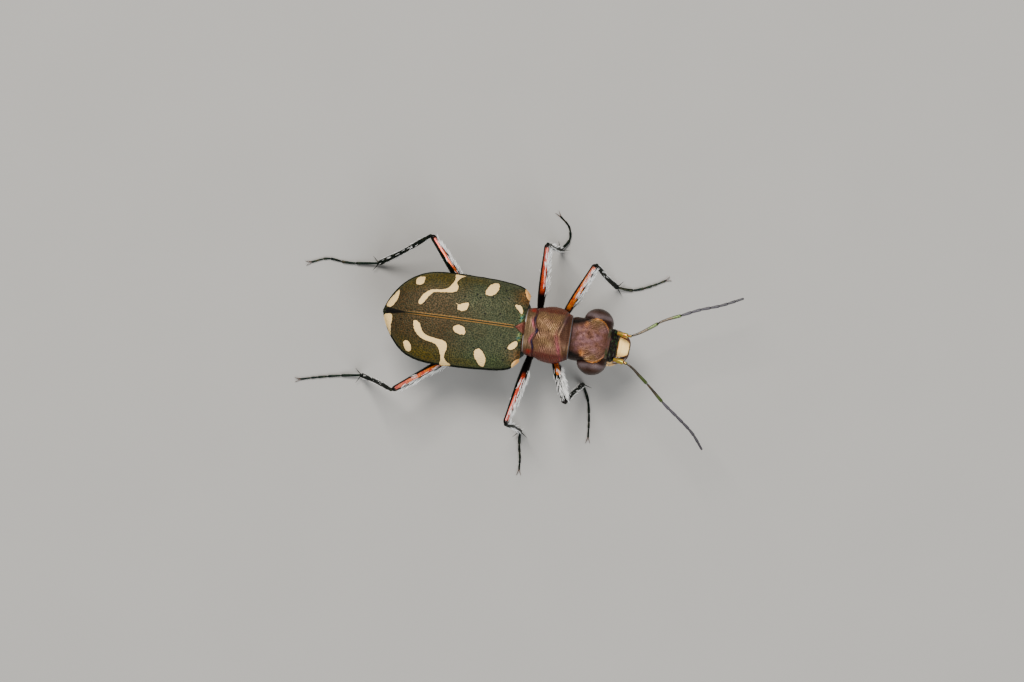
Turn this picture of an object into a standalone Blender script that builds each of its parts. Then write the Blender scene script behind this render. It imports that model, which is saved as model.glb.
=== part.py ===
"""Tiger beetle, a still model at life size, standing on its six feet.

The head points to +X, its left side to +Y. Sizes below are in millimetres, meshes in metres.
"""

import math

import bmesh
import bpy
import numpy as np
from mathutils import Matrix, Vector

MM = 0.001
GAP = 0.3

# Wing cases. X runs from the apex at the rear to the base beside the thorax.
ELYTRA_APEX_X = -6.95
ELYTRA_WIDEST_X = -3.3
ELYTRA_BASE_X = 0.05
ELYTRA_HALF_WIDTH = 2.33
ELYTRA_FRONT_TAPER = 0.22
ELYTRA_SHOULDER = 0.38
ELYTRA_SHOULDER_POWER = 10
ELYTRA_REAR_POWERS = (3.5, 1.0 / 1.22)
ELYTRA_REAR_ARCH_POWERS = (2.6, 0.6)
ELYTRA_SECTION_POWERS = (2.3, 2.1)
ELYTRA_TOP_Z = 4.60
ELYTRA_MARGIN_Z = 3.35
ELYTRA_APEX_DROP = 0.20
ELYTRA_BASE_DROP = 0.20
ELYTRA_THICKNESS = 0.5
ELYTRA_APEX_HALF_WIDTH = 0.30
ELYTRA_APEX_ARCH = 0.12
SCUTELLUM_LENGTH = 0.55
SCUTELLUM_HALF_WIDTH = 0.36
SCUTELLUM_SHOULDER = 0.2
SCUTELLUM_THICKNESS = 0.55

# Hind body under the wing cases.
ABDOMEN_FRONT_X = -2.85
ABDOMEN_REAR_X = -6.15
ABDOMEN_HALF_WIDTH = 1.68
ABDOMEN_BOTTOM_Z = 1.95
ABDOMEN_TIP_RISE = 0.55
ABDOMEN_TIP_TAPER = 0.35
ABDOMEN_RINGS = 6
ABDOMEN_WAIST = 0.02

# Middle and hind thorax, one block between the wing cases and the legs.
PTERO_FRONT_X = 0.03
PTERO_REAR_X = ABDOMEN_FRONT_X + GAP
PTERO_BOTTOM_Z = 1.95
PTERO_FRONT_HALF_WIDTH = 1.03
PTERO_SWELL = 0.60
PTERO_FRONT_DROP = 0.35
PTERO_FRONT_RISE = 0.25
ROOF_CLEARANCE = GAP + 0.05

# Fore thorax with its collar.
PRO_BASE_X = 0.35
PRO_FRONT_X = 2.43
PRO_AXIS_Y = -0.05
PRO_YAW = math.radians(-1.0)
PRO_BASE_HALF_WIDTH = 1.16
PRO_FRONT_HALF_WIDTH = 1.09
PRO_BULGE = 0.29
PRO_TOP_Z = 4.40
PRO_BOTTOM_Z = 2.15
PRO_GROOVES = (0.17, 0.83)
PRO_GROOVE_WIDTH = 0.045
PRO_GROOVE_DEPTH = (0.055, 0.10)
PRO_WIDEST_Z = 3.15
PRO_END_DROP = 0.28
PRO_END_RISE = 0.15

# Head.
HEAD_BACK_X = PRO_FRONT_X + GAP
HEAD_FRONT_X = 4.75
HEAD_AXIS_Y = -0.09
HEAD_YAW = math.radians(-3.0)
HEAD_HALF_WIDTH = 1.06
HEAD_TOP_Z = 4.22
HEAD_BOTTOM_Z = 2.55
HEAD_WIDEST_Z = 3.1
HEAD_CHEEK_TAPER = 0.40
HEAD_FACE_DROP = 0.95
HEAD_NECK_TAPER = 0.08
HEAD_NECK_DROP = 0.10
EYE_CENTRE = (3.83, 0.97, 3.47)
EYE_RADII = (0.69, 0.66, 0.72)
EYE_INNER_FACE = 0.03
LABRUM_LENGTH = 0.5
LABRUM_HALF_WIDTH = 0.53
LABRUM_THICKNESS = 0.5
LABRUM_PITCH = math.radians(8.0)
LABRUM_Z = 2.82
LABRUM_CORNER = 0.26
LABRUM_EDGE = 0.08
MANDIBLE_Z = 1.98
MANDIBLE_RADIUS = 0.25
MANDIBLE_ROOT_X = 4.72
MANDIBLE_REACH = 0.98
MANDIBLE_INNER_Y = 0.16
MANDIBLE_SPREAD = 0.56
MANDIBLE_SWING = (-12.0, 108.0)
MANDIBLE_CROSSING = 0.04
TOOTH_ENDS = ((5.18, 0.55), (5.30, 0.20))
TOOTH_RADIUS = 0.14
MAXILLARY_PALP = (
    (3.95, 0.82, 1.95), (4.18, 0.96, 1.56), (4.50, 1.12, 1.26), (4.90, 1.22, 1.08), (5.25, 1.26, 0.98),
)
MAXILLARY_PALP_RADII = (0.25, 0.25, 0.24, 0.20, 0.12)
LABIUM = ((3.35, 1.98), (3.75, 1.95), (4.15, 1.82), (4.35, 1.70))
LABIUM_RADII = (0.22, 0.26, 0.26, 0.16)
LABIAL_PALP = ((4.10, 0.10, 1.80), (4.45, 0.26, 1.50), (4.72, 0.32, 1.22))
LABIAL_PALP_RADII = (0.17, 0.16, 0.10)

# Feelers: base on the head, joints' ends in plan with height, and thickness.
ANTENNA_JOINTS = 11
ANTENNA_RADIUS = 0.25
ANTENNA_TIP_RADIUS = 0.11
ANTENNA_PATHS = {
    "left": (
        (5.03, 0.45, 3.55), (5.90, 0.58, 3.62), (6.90, 1.26, 3.62), (8.70, 2.12, 3.66),
        (10.82, 2.98, 3.70),
    ),
    "right": (
        (5.02, -0.94, 3.55), (5.70, -1.16, 3.62), (6.66, -1.94, 3.62), (8.48, -3.47, 3.66),
        (9.77, -4.78, 3.70),
    ),
}

# Legs. Each pair's coxa has a centre and three radii. Each leg has the hip, knee and ankle, then the
# claw's place on the floor and how far the foot bows sideways on the way there. A foot's middle line
# runs SOLE_SHARE of its radius over the floor, so that the floor cuts a narrow flat sole.
COXA = {
    "front": ((1.60, 0.58, 1.80), (0.46, 0.41, 0.44)),
    "mid": ((0.26, 0.60, 1.66), (0.43, 0.43, 0.42)),
    "hind": ((-2.05, 0.80, 1.62), (0.46, 0.56, 0.36)),
}
LEGS = {
    "front_left": ((2.20, 1.33, 2.10), (3.34, 3.57, 3.80), (4.43, 2.94, 0.50), (6.83, 3.63), -0.26),
    "front_right": ((1.97, -1.42, 2.05), (2.68, -3.39, 4.05), (3.41, -2.11, 0.50), (4.02, -4.75), 0.10),
    "mid_left": ((0.80, 1.40, 2.05), (0.72, 4.33, 4.05), (1.45, 4.37, 0.45), (1.18, 6.12), -0.44),
    "mid_right": ((0.58, -1.42, 2.05), (-0.14, -4.88, 3.65), (0.65, -4.85, 0.40), (0.77, -6.75), -0.08),
    "hind_left": ((-2.84, 1.46, 1.82), (-5.03, 4.00, 3.90), (-7.43, 2.55, 0.45), (-10.85, 2.12), 0.24),
    "hind_right": ((-2.74, -1.34, 1.78), (-5.96, -3.95, 3.70), (-7.58, -3.12, 0.45), (-10.60, -3.85), -0.05),
}
FEMUR_RADIUS = {"front": 0.28, "mid": 0.27, "hind": 0.28}
HIP_RADIUS = 0.22
TROCHANTER_RADII = (0.16, 0.22, 0.16)
TROCHANTER_LENGTH = 0.55
TROCHANTER_DROP = 0.10
KNEE_RADIUS = 0.20
TIBIA_RADIUS = 0.25
TIBIA_HEAD_RADIUS = 0.20
ANKLE_RADIUS = 0.24
TARSUS_RADIUS = 0.23
TARSUS_TIP_RADIUS = 0.14
TARSUS_JOINTS = 5
SOLE_SHARE = 0.86
TARSUS_LANDING = 0.55
SPUR_LENGTH = 0.55
SPUR_RADIUS = 0.09
CLAW_LENGTH = 0.34
CLAW_RADIUS = 0.08
CLAW_SPREAD = 0.13
CAP_LENGTH = 0.10

# Facets round a body section and round a rounded piece.
BODY_SIDES = 28
ROUND_SIDES = 16

# Colour, metallic share and roughness of each surface.
FINISHES = {
    "elytra_green": ((0.075, 0.080, 0.030), 0.35, 0.42),
    "thorax_copper": ((0.170, 0.060, 0.045), 0.55, 0.38),
    "underside_green": ((0.030, 0.060, 0.050), 0.60, 0.32),
    "eye_brown": ((0.045, 0.028, 0.030), 0.0, 0.12),
    "labrum_cream": ((0.720, 0.520, 0.300), 0.0, 0.40),
    "leg_red": ((0.330, 0.070, 0.035), 0.60, 0.30),
    "leg_dark": ((0.022, 0.028, 0.022), 0.40, 0.34),
    "jaw_dark": ((0.060, 0.035, 0.020), 0.10, 0.25),
    "feeler_grey": ((0.060, 0.050, 0.050), 0.30, 0.45),
}


def clear_scene():
    """Remove whatever the file holds."""
    for old in list(bpy.data.objects):
        bpy.data.objects.remove(old, do_unlink=True)


def new_collection(name):
    """Make a collection in the scene."""
    collection = bpy.data.collections.new(name)
    bpy.context.scene.collection.children.link(collection)
    return collection


def finish(name):
    """Return the Principled material of that name, made on first use."""
    material = bpy.data.materials.get(name)
    if material is None:
        colour, metallic, roughness = FINISHES[name]
        material = bpy.data.materials.new(name)
        material.use_nodes = True
        shader = material.node_tree.nodes["Principled BSDF"]
        shader.inputs["Base Color"].default_value = (*colour, 1.0)
        shader.inputs["Metallic"].default_value = metallic
        shader.inputs["Roughness"].default_value = roughness
    return material


def add_mesh_object(name, bm, material, collection):
    """Turn a bmesh in metres into an object with its finish."""
    mesh = bpy.data.meshes.new(name)
    bm.to_mesh(mesh)
    bm.free()
    mesh.shade_smooth()
    mesh.set_sharp_from_angle(angle=math.radians(40.0))
    mesh.materials.append(finish(material))
    obj = bpy.data.objects.new(name, mesh)
    collection.objects.link(obj)
    return obj


def shaped(value, power):
    """Cosine or sine bent from a round section towards a squarer one."""
    return math.copysign(abs(value) ** (2.0 / power), value)


def section(x, half_width, bottom, widest, top, power=2.2):
    """Closed outline across the body: its upper and lower halves have their own heights."""
    ring = []
    for i in range(BODY_SIDES):
        angle = 2.0 * math.pi * i / BODY_SIDES
        side = shaped(math.cos(angle), power)
        rise = shaped(math.sin(angle), power)
        height = (top - widest) if rise > 0.0 else (widest - bottom)
        ring.append((x, half_width * side, widest + height * rise))
    return ring


def loft(name, rings, material, collection):
    """Skin a row of outlines of unlike shape and close both ends."""
    bm = bmesh.new()
    loops = [[bm.verts.new(Vector(point) * MM) for point in ring] for ring in rings]
    count = len(loops[0])
    for near, far in zip(loops, loops[1:]):
        for i in range(count):
            j = (i + 1) % count
            bm.faces.new((near[i], near[j], far[j], far[i]))
    bm.faces.new(loops[0])
    bm.faces.new(loops[-1])
    bmesh.ops.recalc_face_normals(bm, faces=bm.faces[:])
    return add_mesh_object(name, bm, material, collection)


def ellipsoid(name, centre, radii, material, collection, sides=ROUND_SIDES, inner_face=None):
    """Round piece, cut flat at inner_face from its centre along Y where that is given."""
    bm = bmesh.new()
    bmesh.ops.create_uvsphere(bm, u_segments=sides, v_segments=sides // 2, radius=1.0)
    if inner_face is not None:
        outward = math.copysign(1.0, centre[1])
        cut = bmesh.ops.bisect_plane(
            bm,
            geom=bm.verts[:] + bm.edges[:] + bm.faces[:],
            plane_co=(0.0, outward * inner_face / radii[1], 0.0),
            plane_no=(0.0, -outward, 0.0),
            clear_outer=True,
        )
        rim = [item for item in cut["geom_cut"] if isinstance(item, bmesh.types.BMEdge)]
        bmesh.ops.contextual_create(bm, geom=rim)
    bmesh.ops.scale(bm, vec=Vector(radii) * MM, verts=bm.verts[:])
    bmesh.ops.translate(bm, vec=Vector(centre) * MM, verts=bm.verts[:])
    bmesh.ops.recalc_face_normals(bm, faces=bm.faces[:])
    return add_mesh_object(name, bm, material, collection)


def cone(name, base, tip, radius, material, collection, sides=6):
    """Pointed piece from base to tip, for spurs, claws and teeth."""
    axis = Vector(tip) - Vector(base)
    bm = bmesh.new()
    bmesh.ops.create_cone(
        bm,
        cap_ends=True,
        segments=sides,
        radius1=radius * MM,
        radius2=radius * 0.2 * MM,
        depth=axis.length * MM,
    )
    turn = Vector((0.0, 0.0, 1.0)).rotation_difference(axis).to_matrix().to_4x4()
    middle = (Vector(base) + Vector(tip)) / 2.0
    bmesh.ops.transform(bm, matrix=Matrix.Translation(middle * MM) @ turn, verts=bm.verts[:])
    return add_mesh_object(name, bm, material, collection)


def tube(name, points, radii, material, collection):
    """Curve object with a round bevel whose thickness follows radii, ends filled."""
    thickest = max(radii)
    curve = bpy.data.curves.new(name, "CURVE")
    curve.dimensions = "3D"
    curve.bevel_depth = thickest * MM
    curve.bevel_resolution = 2
    curve.use_fill_caps = True
    spline = curve.splines.new("POLY")
    spline.points.add(len(points) - 1)
    for point, place, radius in zip(spline.points, points, radii):
        point.co = (*(Vector(place) * MM), 1.0)
        point.radius = radius / thickest
    curve.materials.append(finish(material))
    obj = bpy.data.objects.new(name, curve)
    collection.objects.link(obj)
    return obj


def to_mesh_object(curve_object):
    """Replace a curve object with a mesh of the same place, caps welded."""
    name = curve_object.name
    collection = curve_object.users_collection[0]
    bpy.context.view_layer.update()
    evaluated = curve_object.evaluated_get(bpy.context.evaluated_depsgraph_get())
    mesh = bpy.data.meshes.new_from_object(evaluated)
    bm = bmesh.new()
    bm.from_mesh(mesh)
    bmesh.ops.remove_doubles(bm, verts=bm.verts[:], dist=0.000001)
    bmesh.ops.recalc_face_normals(bm, faces=bm.faces[:])
    bm.to_mesh(mesh)
    bm.free()
    place = curve_object.matrix_world.copy()
    bpy.data.objects.remove(curve_object, do_unlink=True)
    obj = bpy.data.objects.new(name, mesh)
    obj.matrix_world = place
    mesh.shade_smooth()
    mesh.set_sharp_from_angle(angle=math.radians(40.0))
    collection.objects.link(obj)
    return obj


def apply_modifiers(obj):
    """Keep an object's evaluated mesh as its own."""
    bpy.context.view_layer.update()
    evaluated = obj.evaluated_get(bpy.context.evaluated_depsgraph_get())
    mesh = bpy.data.meshes.new_from_object(evaluated)
    obj.modifiers.clear()
    obj.data = mesh


def fuse(base, pieces):
    """Join closed pieces to base with one union, then keep the largest closed surface."""
    joined = bpy.data.collections.new(base.name + "_pieces")
    bpy.context.scene.collection.children.link(joined)
    for piece in pieces:
        for owner in list(piece.users_collection):
            owner.objects.unlink(piece)
        joined.objects.link(piece)
    union = base.modifiers.new("union", "BOOLEAN")
    union.operation = "UNION"
    union.operand_type = "COLLECTION"
    union.solver = "EXACT"
    union.collection = joined
    apply_modifiers(base)
    for piece in list(joined.objects):
        bpy.data.objects.remove(piece, do_unlink=True)
    bpy.data.collections.remove(joined)
    keep_largest(base)


def keep_largest(obj):
    """Drop every closed surface of a mesh but the one with the most volume."""
    bm = bmesh.new()
    bm.from_mesh(obj.data)
    unseen = set(bm.faces)
    shells = []
    while unseen:
        stack = [unseen.pop()]
        shell = []
        while stack:
            face = stack.pop()
            shell.append(face)
            for edge in face.edges:
                for neighbour in edge.link_faces:
                    if neighbour in unseen:
                        unseen.remove(neighbour)
                        stack.append(neighbour)
        shells.append(shell)
    if len(shells) > 1:
        largest = max(shells, key=lambda shell: sum(face.calc_area() for face in shell))
        loose = [face for shell in shells if shell is not largest for face in shell]
        bmesh.ops.delete(bm, geom=loose, context="FACES")
        bm.to_mesh(obj.data)
    bm.free()


def cut_away(obj, cutter, name):
    """Subtract a hidden cutter from a piece."""
    cutter.hide_render = True
    cutter.display_type = "WIRE"
    cut = obj.modifiers.new(name, "BOOLEAN")
    cut.operation = "DIFFERENCE"
    cut.object = cutter
    cut.solver = "EXACT"


def elytra_half_width(x):
    """Half the width of the closed wing cases in plan.

    Behind the widest place it is a blunt superellipse to the apex, before it a slow taper with
    a rounded shoulder.
    """
    if x < ELYTRA_WIDEST_X:
        along = (x - ELYTRA_APEX_X) / (ELYTRA_WIDEST_X - ELYTRA_APEX_X)
        inner, outer = ELYTRA_REAR_POWERS
        return ELYTRA_HALF_WIDTH * max(0.0, 1.0 - (1.0 - along) ** inner) ** outer
    along = (x - ELYTRA_WIDEST_X) / -ELYTRA_WIDEST_X
    shoulder = ELYTRA_SHOULDER * along ** ELYTRA_SHOULDER_POWER
    return ELYTRA_HALF_WIDTH - ELYTRA_FRONT_TAPER * along ** 2 - shoulder


def elytra_margin(x):
    """Height of the wing cases' outer edge."""
    return ELYTRA_MARGIN_Z - ELYTRA_APEX_DROP * (x / ELYTRA_APEX_X) ** 2


def elytra_arch(x):
    """Height of the wing cases' ridge over their edge."""
    rise = ELYTRA_TOP_Z - ELYTRA_MARGIN_Z
    if x < ELYTRA_WIDEST_X:
        along = (x - ELYTRA_APEX_X) / (ELYTRA_WIDEST_X - ELYTRA_APEX_X)
        inner, outer = ELYTRA_REAR_ARCH_POWERS
        return rise * max(0.0, 1.0 - (1.0 - along) ** inner) ** outer
    along = (x - ELYTRA_WIDEST_X) / -ELYTRA_WIDEST_X
    return rise - ELYTRA_BASE_DROP * along ** 3


def build_elytron(side, collection):
    """One wing case: a vaulted shell, open below, closed to a blunt apex."""
    sign = 1.0 if side == "left" else -1.0
    stations = 26
    steps = 9
    seam = GAP / 2.0
    side_power, roof_power = ELYTRA_SECTION_POWERS
    rear = ELYTRA_APEX_X + 0.05
    rings = []
    for i in range(stations + 1):
        share = 0.5 - 0.5 * math.cos(math.pi * i / stations)
        x = rear + (ELYTRA_BASE_X - rear) * share
        spread = max(elytra_half_width(x), ELYTRA_APEX_HALF_WIDTH) - seam
        arch = max(elytra_arch(x), ELYTRA_APEX_ARCH)
        margin = elytra_margin(x)
        across = max(0.30, 1.0 - ELYTRA_THICKNESS / spread)
        upward = max(0.0, 1.0 - ELYTRA_THICKNESS / arch)
        outer = []
        inner = []
        for j in range(steps + 1):
            angle = math.pi / 2.0 * j / steps
            y = spread * shaped(math.sin(angle), side_power)
            z = arch * shaped(max(0.0, math.cos(angle)), roof_power)
            outer.append((x, sign * (seam + y), margin + z))
            inner.append((x, sign * (seam + y * across), margin + z * upward))
        rings.append((outer, inner))
    bm = bmesh.new()
    rows = []
    for outer, inner in rings:
        tops = [bm.verts.new(Vector(point) * MM) for point in outer]
        lows = [bm.verts.new(Vector(point) * MM) for point in inner]
        rows.append((tops, lows))
    for (tops, lows), (next_tops, next_lows) in zip(rows, rows[1:]):
        for j in range(steps):
            bm.faces.new((tops[j], tops[j + 1], next_tops[j + 1], next_tops[j]))
            bm.faces.new((lows[j + 1], lows[j], next_lows[j], next_lows[j + 1]))
        bm.faces.new((tops[0], next_tops[0], next_lows[0], lows[0]))
        bm.faces.new((tops[-1], lows[-1], next_lows[-1], next_tops[-1]))
    for tops, lows in (rows[0], rows[-1]):
        for j in range(steps):
            bm.faces.new((tops[j], tops[j + 1], lows[j + 1], lows[j]))
    bmesh.ops.recalc_face_normals(bm, faces=bm.faces[:])
    return add_mesh_object("elytron_" + side, bm, "elytra_green", collection)


def scutellum_outline(offset):
    """Triangle between the wing cases' bases, grown sideways and rearward by offset."""
    half = SCUTELLUM_HALF_WIDTH + offset
    rear = ELYTRA_BASE_X - SCUTELLUM_LENGTH - 1.6 * offset
    front = ELYTRA_BASE_X + (offset if offset > 0.0 else 0.0)
    corner = ELYTRA_BASE_X - SCUTELLUM_SHOULDER
    return ((front, -half), (front, half), (corner, half), (rear, 0.0), (corner, -half))


def prism(name, outline, low, high, material, collection):
    """Flat outline in plan, extruded upward as a curve filled on both sides."""
    curve = bpy.data.curves.new(name, "CURVE")
    curve.dimensions = "2D"
    curve.fill_mode = "BOTH"
    curve.extrude = (high - low) / 2.0 * MM
    spline = curve.splines.new("POLY")
    spline.points.add(len(outline) - 1)
    for point, (x, y) in zip(spline.points, outline):
        point.co = (x * MM, y * MM, 0.0, 1.0)
    spline.use_cyclic_u = True
    curve.materials.append(finish(material))
    obj = bpy.data.objects.new(name, curve)
    obj.location = (0.0, 0.0, (high + low) / 2.0 * MM)
    collection.objects.link(obj)
    return to_mesh_object(obj)


def build_wing_cases(collection, cutters):
    """Both wing cases and the small shield between their bases."""
    roof = ELYTRA_MARGIN_Z + elytra_arch(0.0)
    notch = prism("scutellum_notch", scutellum_outline(GAP), 2.0, 6.0, "elytra_green", cutters)
    for side in ("left", "right"):
        cut_away(build_elytron(side, collection), notch, "notch")
    low = roof - SCUTELLUM_THICKNESS
    prism("scutellum", scutellum_outline(0.0), low, roof, "thorax_copper", collection)


def build_abdomen(collection):
    """Hind body, deepest at the front, with a shallow waist between its rings."""
    count = 24
    rings = []
    for i in range(count + 1):
        share = i / count
        x = ABDOMEN_FRONT_X + (ABDOMEN_REAR_X - ABDOMEN_FRONT_X) * share
        roof_room = elytra_half_width(x) - ELYTRA_THICKNESS - GAP * 0.8
        half_width = min(ABDOMEN_HALF_WIDTH, max(0.25, roof_room))
        half_width *= 1.0 - ABDOMEN_TIP_TAPER * share ** 8
        waist = 1.0 - ABDOMEN_WAIST * (0.5 + 0.5 * math.cos(2.0 * math.pi * share * ABDOMEN_RINGS))
        widest = elytra_margin(x) - GAP
        under_roof = elytra_margin(x) + max(0.0, elytra_arch(x) - ELYTRA_THICKNESS) - GAP
        top = max(widest + 0.1, under_roof)
        bottom = ABDOMEN_BOTTOM_Z + ABDOMEN_TIP_RISE * share ** 2
        rings.append(section(x, half_width * waist, bottom, widest, top, 2.1))
    return loft("abdomen", rings, "underside_green", collection)


def build_pterothorax(collection, cutters):
    """Middle and hind thorax, with sockets for the middle and hind coxae."""
    count = 9
    rings = []
    for i in range(count + 1):
        share = i / count
        x = PTERO_FRONT_X + (PTERO_REAR_X - PTERO_FRONT_X) * share
        swell = math.sin(min(1.0, 1.5 * share) * math.pi / 2.0)
        half_width = PTERO_FRONT_HALF_WIDTH + PTERO_SWELL * swell
        before = (1.0 - share) ** 2
        widest = ELYTRA_MARGIN_Z - ROOF_CLEARANCE
        ceiling = ELYTRA_MARGIN_Z + elytra_arch(x) - ELYTRA_THICKNESS
        top = ceiling - ROOF_CLEARANCE - PTERO_FRONT_DROP * before
        bottom = PTERO_BOTTOM_Z + PTERO_FRONT_RISE * before
        rings.append(section(x, half_width, bottom, widest, top, 2.2))
    body = loft("pterothorax", rings, "underside_green", collection)
    for pair in ("mid", "hind"):
        cut_sockets(body, pair, cutters)
    return body


def cut_sockets(body, pair, cutters):
    """Leave clear space round a pair of coxae."""
    (x, y, z), radii = COXA[pair]
    wide = tuple(radius + GAP for radius in radii)
    for side, sign in (("left", 1.0), ("right", -1.0)):
        name = pair + "_socket_" + side
        cut_away(body, ellipsoid(name, (x, sign * y, z), wide, "leg_dark", cutters), name)


def build_prothorax(collection, cutters):
    """Fore thorax: a waisted barrel with a groove behind the collar and one before the base."""
    count = 22
    length = PRO_FRONT_X - PRO_BASE_X
    rings = []
    for i in range(count + 1):
        share = i / count
        swell = max(0.0, math.sin(math.pi * share ** 1.25)) ** 0.9
        half_width = PRO_BASE_HALF_WIDTH + (PRO_FRONT_HALF_WIDTH - PRO_BASE_HALF_WIDTH) * share
        half_width += PRO_BULGE * swell
        groove = sum(math.exp(-((share - place) / PRO_GROOVE_WIDTH) ** 2) for place in PRO_GROOVES)
        half_width *= 1.0 - PRO_GROOVE_DEPTH[0] * groove
        roof = PRO_TOP_Z - PRO_END_DROP * (1.0 - swell) - PRO_WIDEST_Z
        top = PRO_WIDEST_Z + roof * (1.0 - PRO_GROOVE_DEPTH[1] * groove)
        bottom = PRO_BOTTOM_Z + PRO_END_RISE * (1.0 - swell)
        x = PRO_BASE_X + length * share
        rings.append(section(x, half_width, bottom, PRO_WIDEST_Z, top, 2.3))
    body = loft("prothorax", rings, "thorax_copper", collection)
    turn_about(body, (PRO_BASE_X, PRO_AXIS_Y), PRO_YAW)
    cut_sockets(body, "front", cutters)
    return body


def turn_about(obj, pivot, yaw):
    """Turn a piece modelled on the X axis about pivot's X and shift it to pivot's Y."""
    x, y = pivot
    obj.matrix_world = (
        Matrix.Translation((x * MM, y * MM, 0.0))
        @ Matrix.Rotation(yaw, 4, "Z")
        @ Matrix.Translation((-x * MM, 0.0, 0.0))
    )


def on_head(point):
    """Place on the turned head of a point given on the straight head."""
    x, y, z = point
    pivot = HEAD_BACK_X
    along = x - pivot
    turned_x = pivot + along * math.cos(HEAD_YAW) - y * math.sin(HEAD_YAW)
    turned_y = HEAD_AXIS_Y + along * math.sin(HEAD_YAW) + y * math.cos(HEAD_YAW)
    return (turned_x, turned_y, z)


def build_head(collection, cutters):
    """Head capsule from the neck to the clypeus, with a flat-bottomed socket for each eye."""
    count = 14
    length = HEAD_FRONT_X - HEAD_BACK_X
    rings = []
    for i in range(count + 1):
        share = i / count
        cheek = 1.0 - HEAD_CHEEK_TAPER * share ** 7
        half_width = (HEAD_HALF_WIDTH - HEAD_NECK_TAPER * (1.0 - share) ** 2) * cheek
        top = HEAD_TOP_Z - HEAD_NECK_DROP * (1.0 - share) ** 3 - HEAD_FACE_DROP * share ** 5
        bottom = HEAD_BOTTOM_Z - HEAD_NECK_DROP * (1.0 - share)
        rings.append(section(HEAD_BACK_X + length * share, half_width, bottom, HEAD_WIDEST_Z, top, 2.4))
    head = loft("head", rings, "thorax_copper", collection)
    turn_about(head, (HEAD_BACK_X, HEAD_AXIS_Y), HEAD_YAW)
    wide = tuple(radius + GAP for radius in EYE_RADII)
    for side, sign in (("left", 1.0), ("right", -1.0)):
        centre = (EYE_CENTRE[0], sign * EYE_CENTRE[1], EYE_CENTRE[2])
        eye = ellipsoid("eye_" + side, centre, EYE_RADII, "eye_brown", collection, 20, EYE_INNER_FACE)
        floor = EYE_INNER_FACE - GAP
        socket = ellipsoid("eye_socket_" + side, centre, wide, "eye_brown", cutters, 20, floor)
        for piece in (eye, socket):
            turn_about(piece, (HEAD_BACK_X, HEAD_AXIS_Y), HEAD_YAW)
        cut_away(head, socket, "eye_" + side)
    return head


def build_labrum(collection):
    """Upper lip: a rounded plate before the clypeus, tipped down."""
    bm = bmesh.new()
    bmesh.ops.create_cube(bm, size=1.0)
    size = Vector((LABRUM_LENGTH, 2.0 * LABRUM_HALF_WIDTH, LABRUM_THICKNESS)) * MM
    bmesh.ops.scale(bm, vec=size, verts=bm.verts[:])
    upright = [edge for edge in bm.edges if abs(edge.verts[0].co.z - edge.verts[1].co.z) > 0.1 * MM]
    front = [edge for edge in upright if edge.verts[0].co.x > 0.0]
    bmesh.ops.bevel(bm, geom=front, offset=LABRUM_CORNER * MM, segments=4, profile=0.5, affect="EDGES")
    labrum = add_mesh_object("labrum", bm, "labrum_cream", collection)
    centre = (HEAD_FRONT_X + GAP + LABRUM_LENGTH / 2.0 + 0.04, 0.0, LABRUM_Z)
    x, y, z = on_head(centre)
    labrum.location = (x * MM, y * MM, z * MM)
    labrum.rotation_euler = (0.0, LABRUM_PITCH, HEAD_YAW)
    soften = labrum.modifiers.new("soften", "BEVEL")
    soften.width = LABRUM_EDGE * MM
    soften.segments = 2
    soften.limit_method = "ANGLE"
    return labrum


def build_mandible(side, collection, cutters):
    """Sickle jaw under the lip, with a tooth on its inner edge."""
    sign = 1.0 if side == "left" else -1.0
    count = 11
    points = []
    radii = []
    for i in range(count):
        share = i / (count - 1)
        angle = math.radians(MANDIBLE_SWING[0] + MANDIBLE_SWING[1] * share)
        x = MANDIBLE_ROOT_X + MANDIBLE_REACH * math.sin(angle) + MANDIBLE_CROSSING * sign * share
        y = MANDIBLE_INNER_Y + MANDIBLE_SPREAD * max(0.0, math.cos(angle)) ** 0.8
        points.append(on_head((x, sign * y, MANDIBLE_Z)))
        radii.append(MANDIBLE_RADIUS * (1.0 - 0.62 * share ** 1.6) * (0.75 if i == 0 else 1.0))
    jaw = to_mesh_object(tube("mandible_" + side, points, radii, "jaw_dark", collection))
    root, point = (on_head((x, sign * y, MANDIBLE_Z)) for x, y in TOOTH_ENDS)
    tooth = cone("tooth_" + side, root, point, TOOTH_RADIUS, "jaw_dark", cutters)
    fuse(jaw, [tooth])
    return jaw


def rounded_run(start, end, radii, count):
    """Points of a straight stretch and their radii, with both ends drawn in."""
    start = Vector(start)
    end = Vector(end)
    first, middle, last = radii
    points = []
    sizes = []
    for i in range(count):
        share = i / (count - 1)
        points.append(start.lerp(end, share))
        if share < 0.5:
            sizes.append(first + (middle - first) * math.sin(math.pi * min(1.0, share * 2.5) / 2.0))
        else:
            sizes.append(last + (middle - last) * math.cos(math.pi * (share - 0.5)))
    axis = (end - start).normalized()
    points = [start - axis * CAP_LENGTH] + points + [end + axis * CAP_LENGTH]
    sizes = [sizes[0] * 0.6] + sizes + [sizes[-1] * 0.6]
    return points, sizes


def build_mouth(collection, cutters):
    """Jaws, the feelers of the mouth and the lower lip."""
    for side, sign in (("left", 1.0), ("right", -1.0)):
        build_mandible(side, collection, cutters)
        points = [on_head((x, sign * y, z)) for x, y, z in MAXILLARY_PALP]
        tube("maxillary_palp_" + side, points, MAXILLARY_PALP_RADII, "labrum_cream", collection)
    lip_path = [on_head((x, 0.0, z)) for x, z in LABIUM]
    lip = to_mesh_object(tube("labium", lip_path, LABIUM_RADII, "underside_green", collection))
    palps = []
    for sign in (1.0, -1.0):
        path = [on_head((x, sign * y, z)) for x, y, z in LABIAL_PALP]
        piece = tube("labial_palp", path, LABIAL_PALP_RADII, "labrum_cream", cutters)
        palps.append(to_mesh_object(piece))
    fuse(lip, palps)


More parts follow.
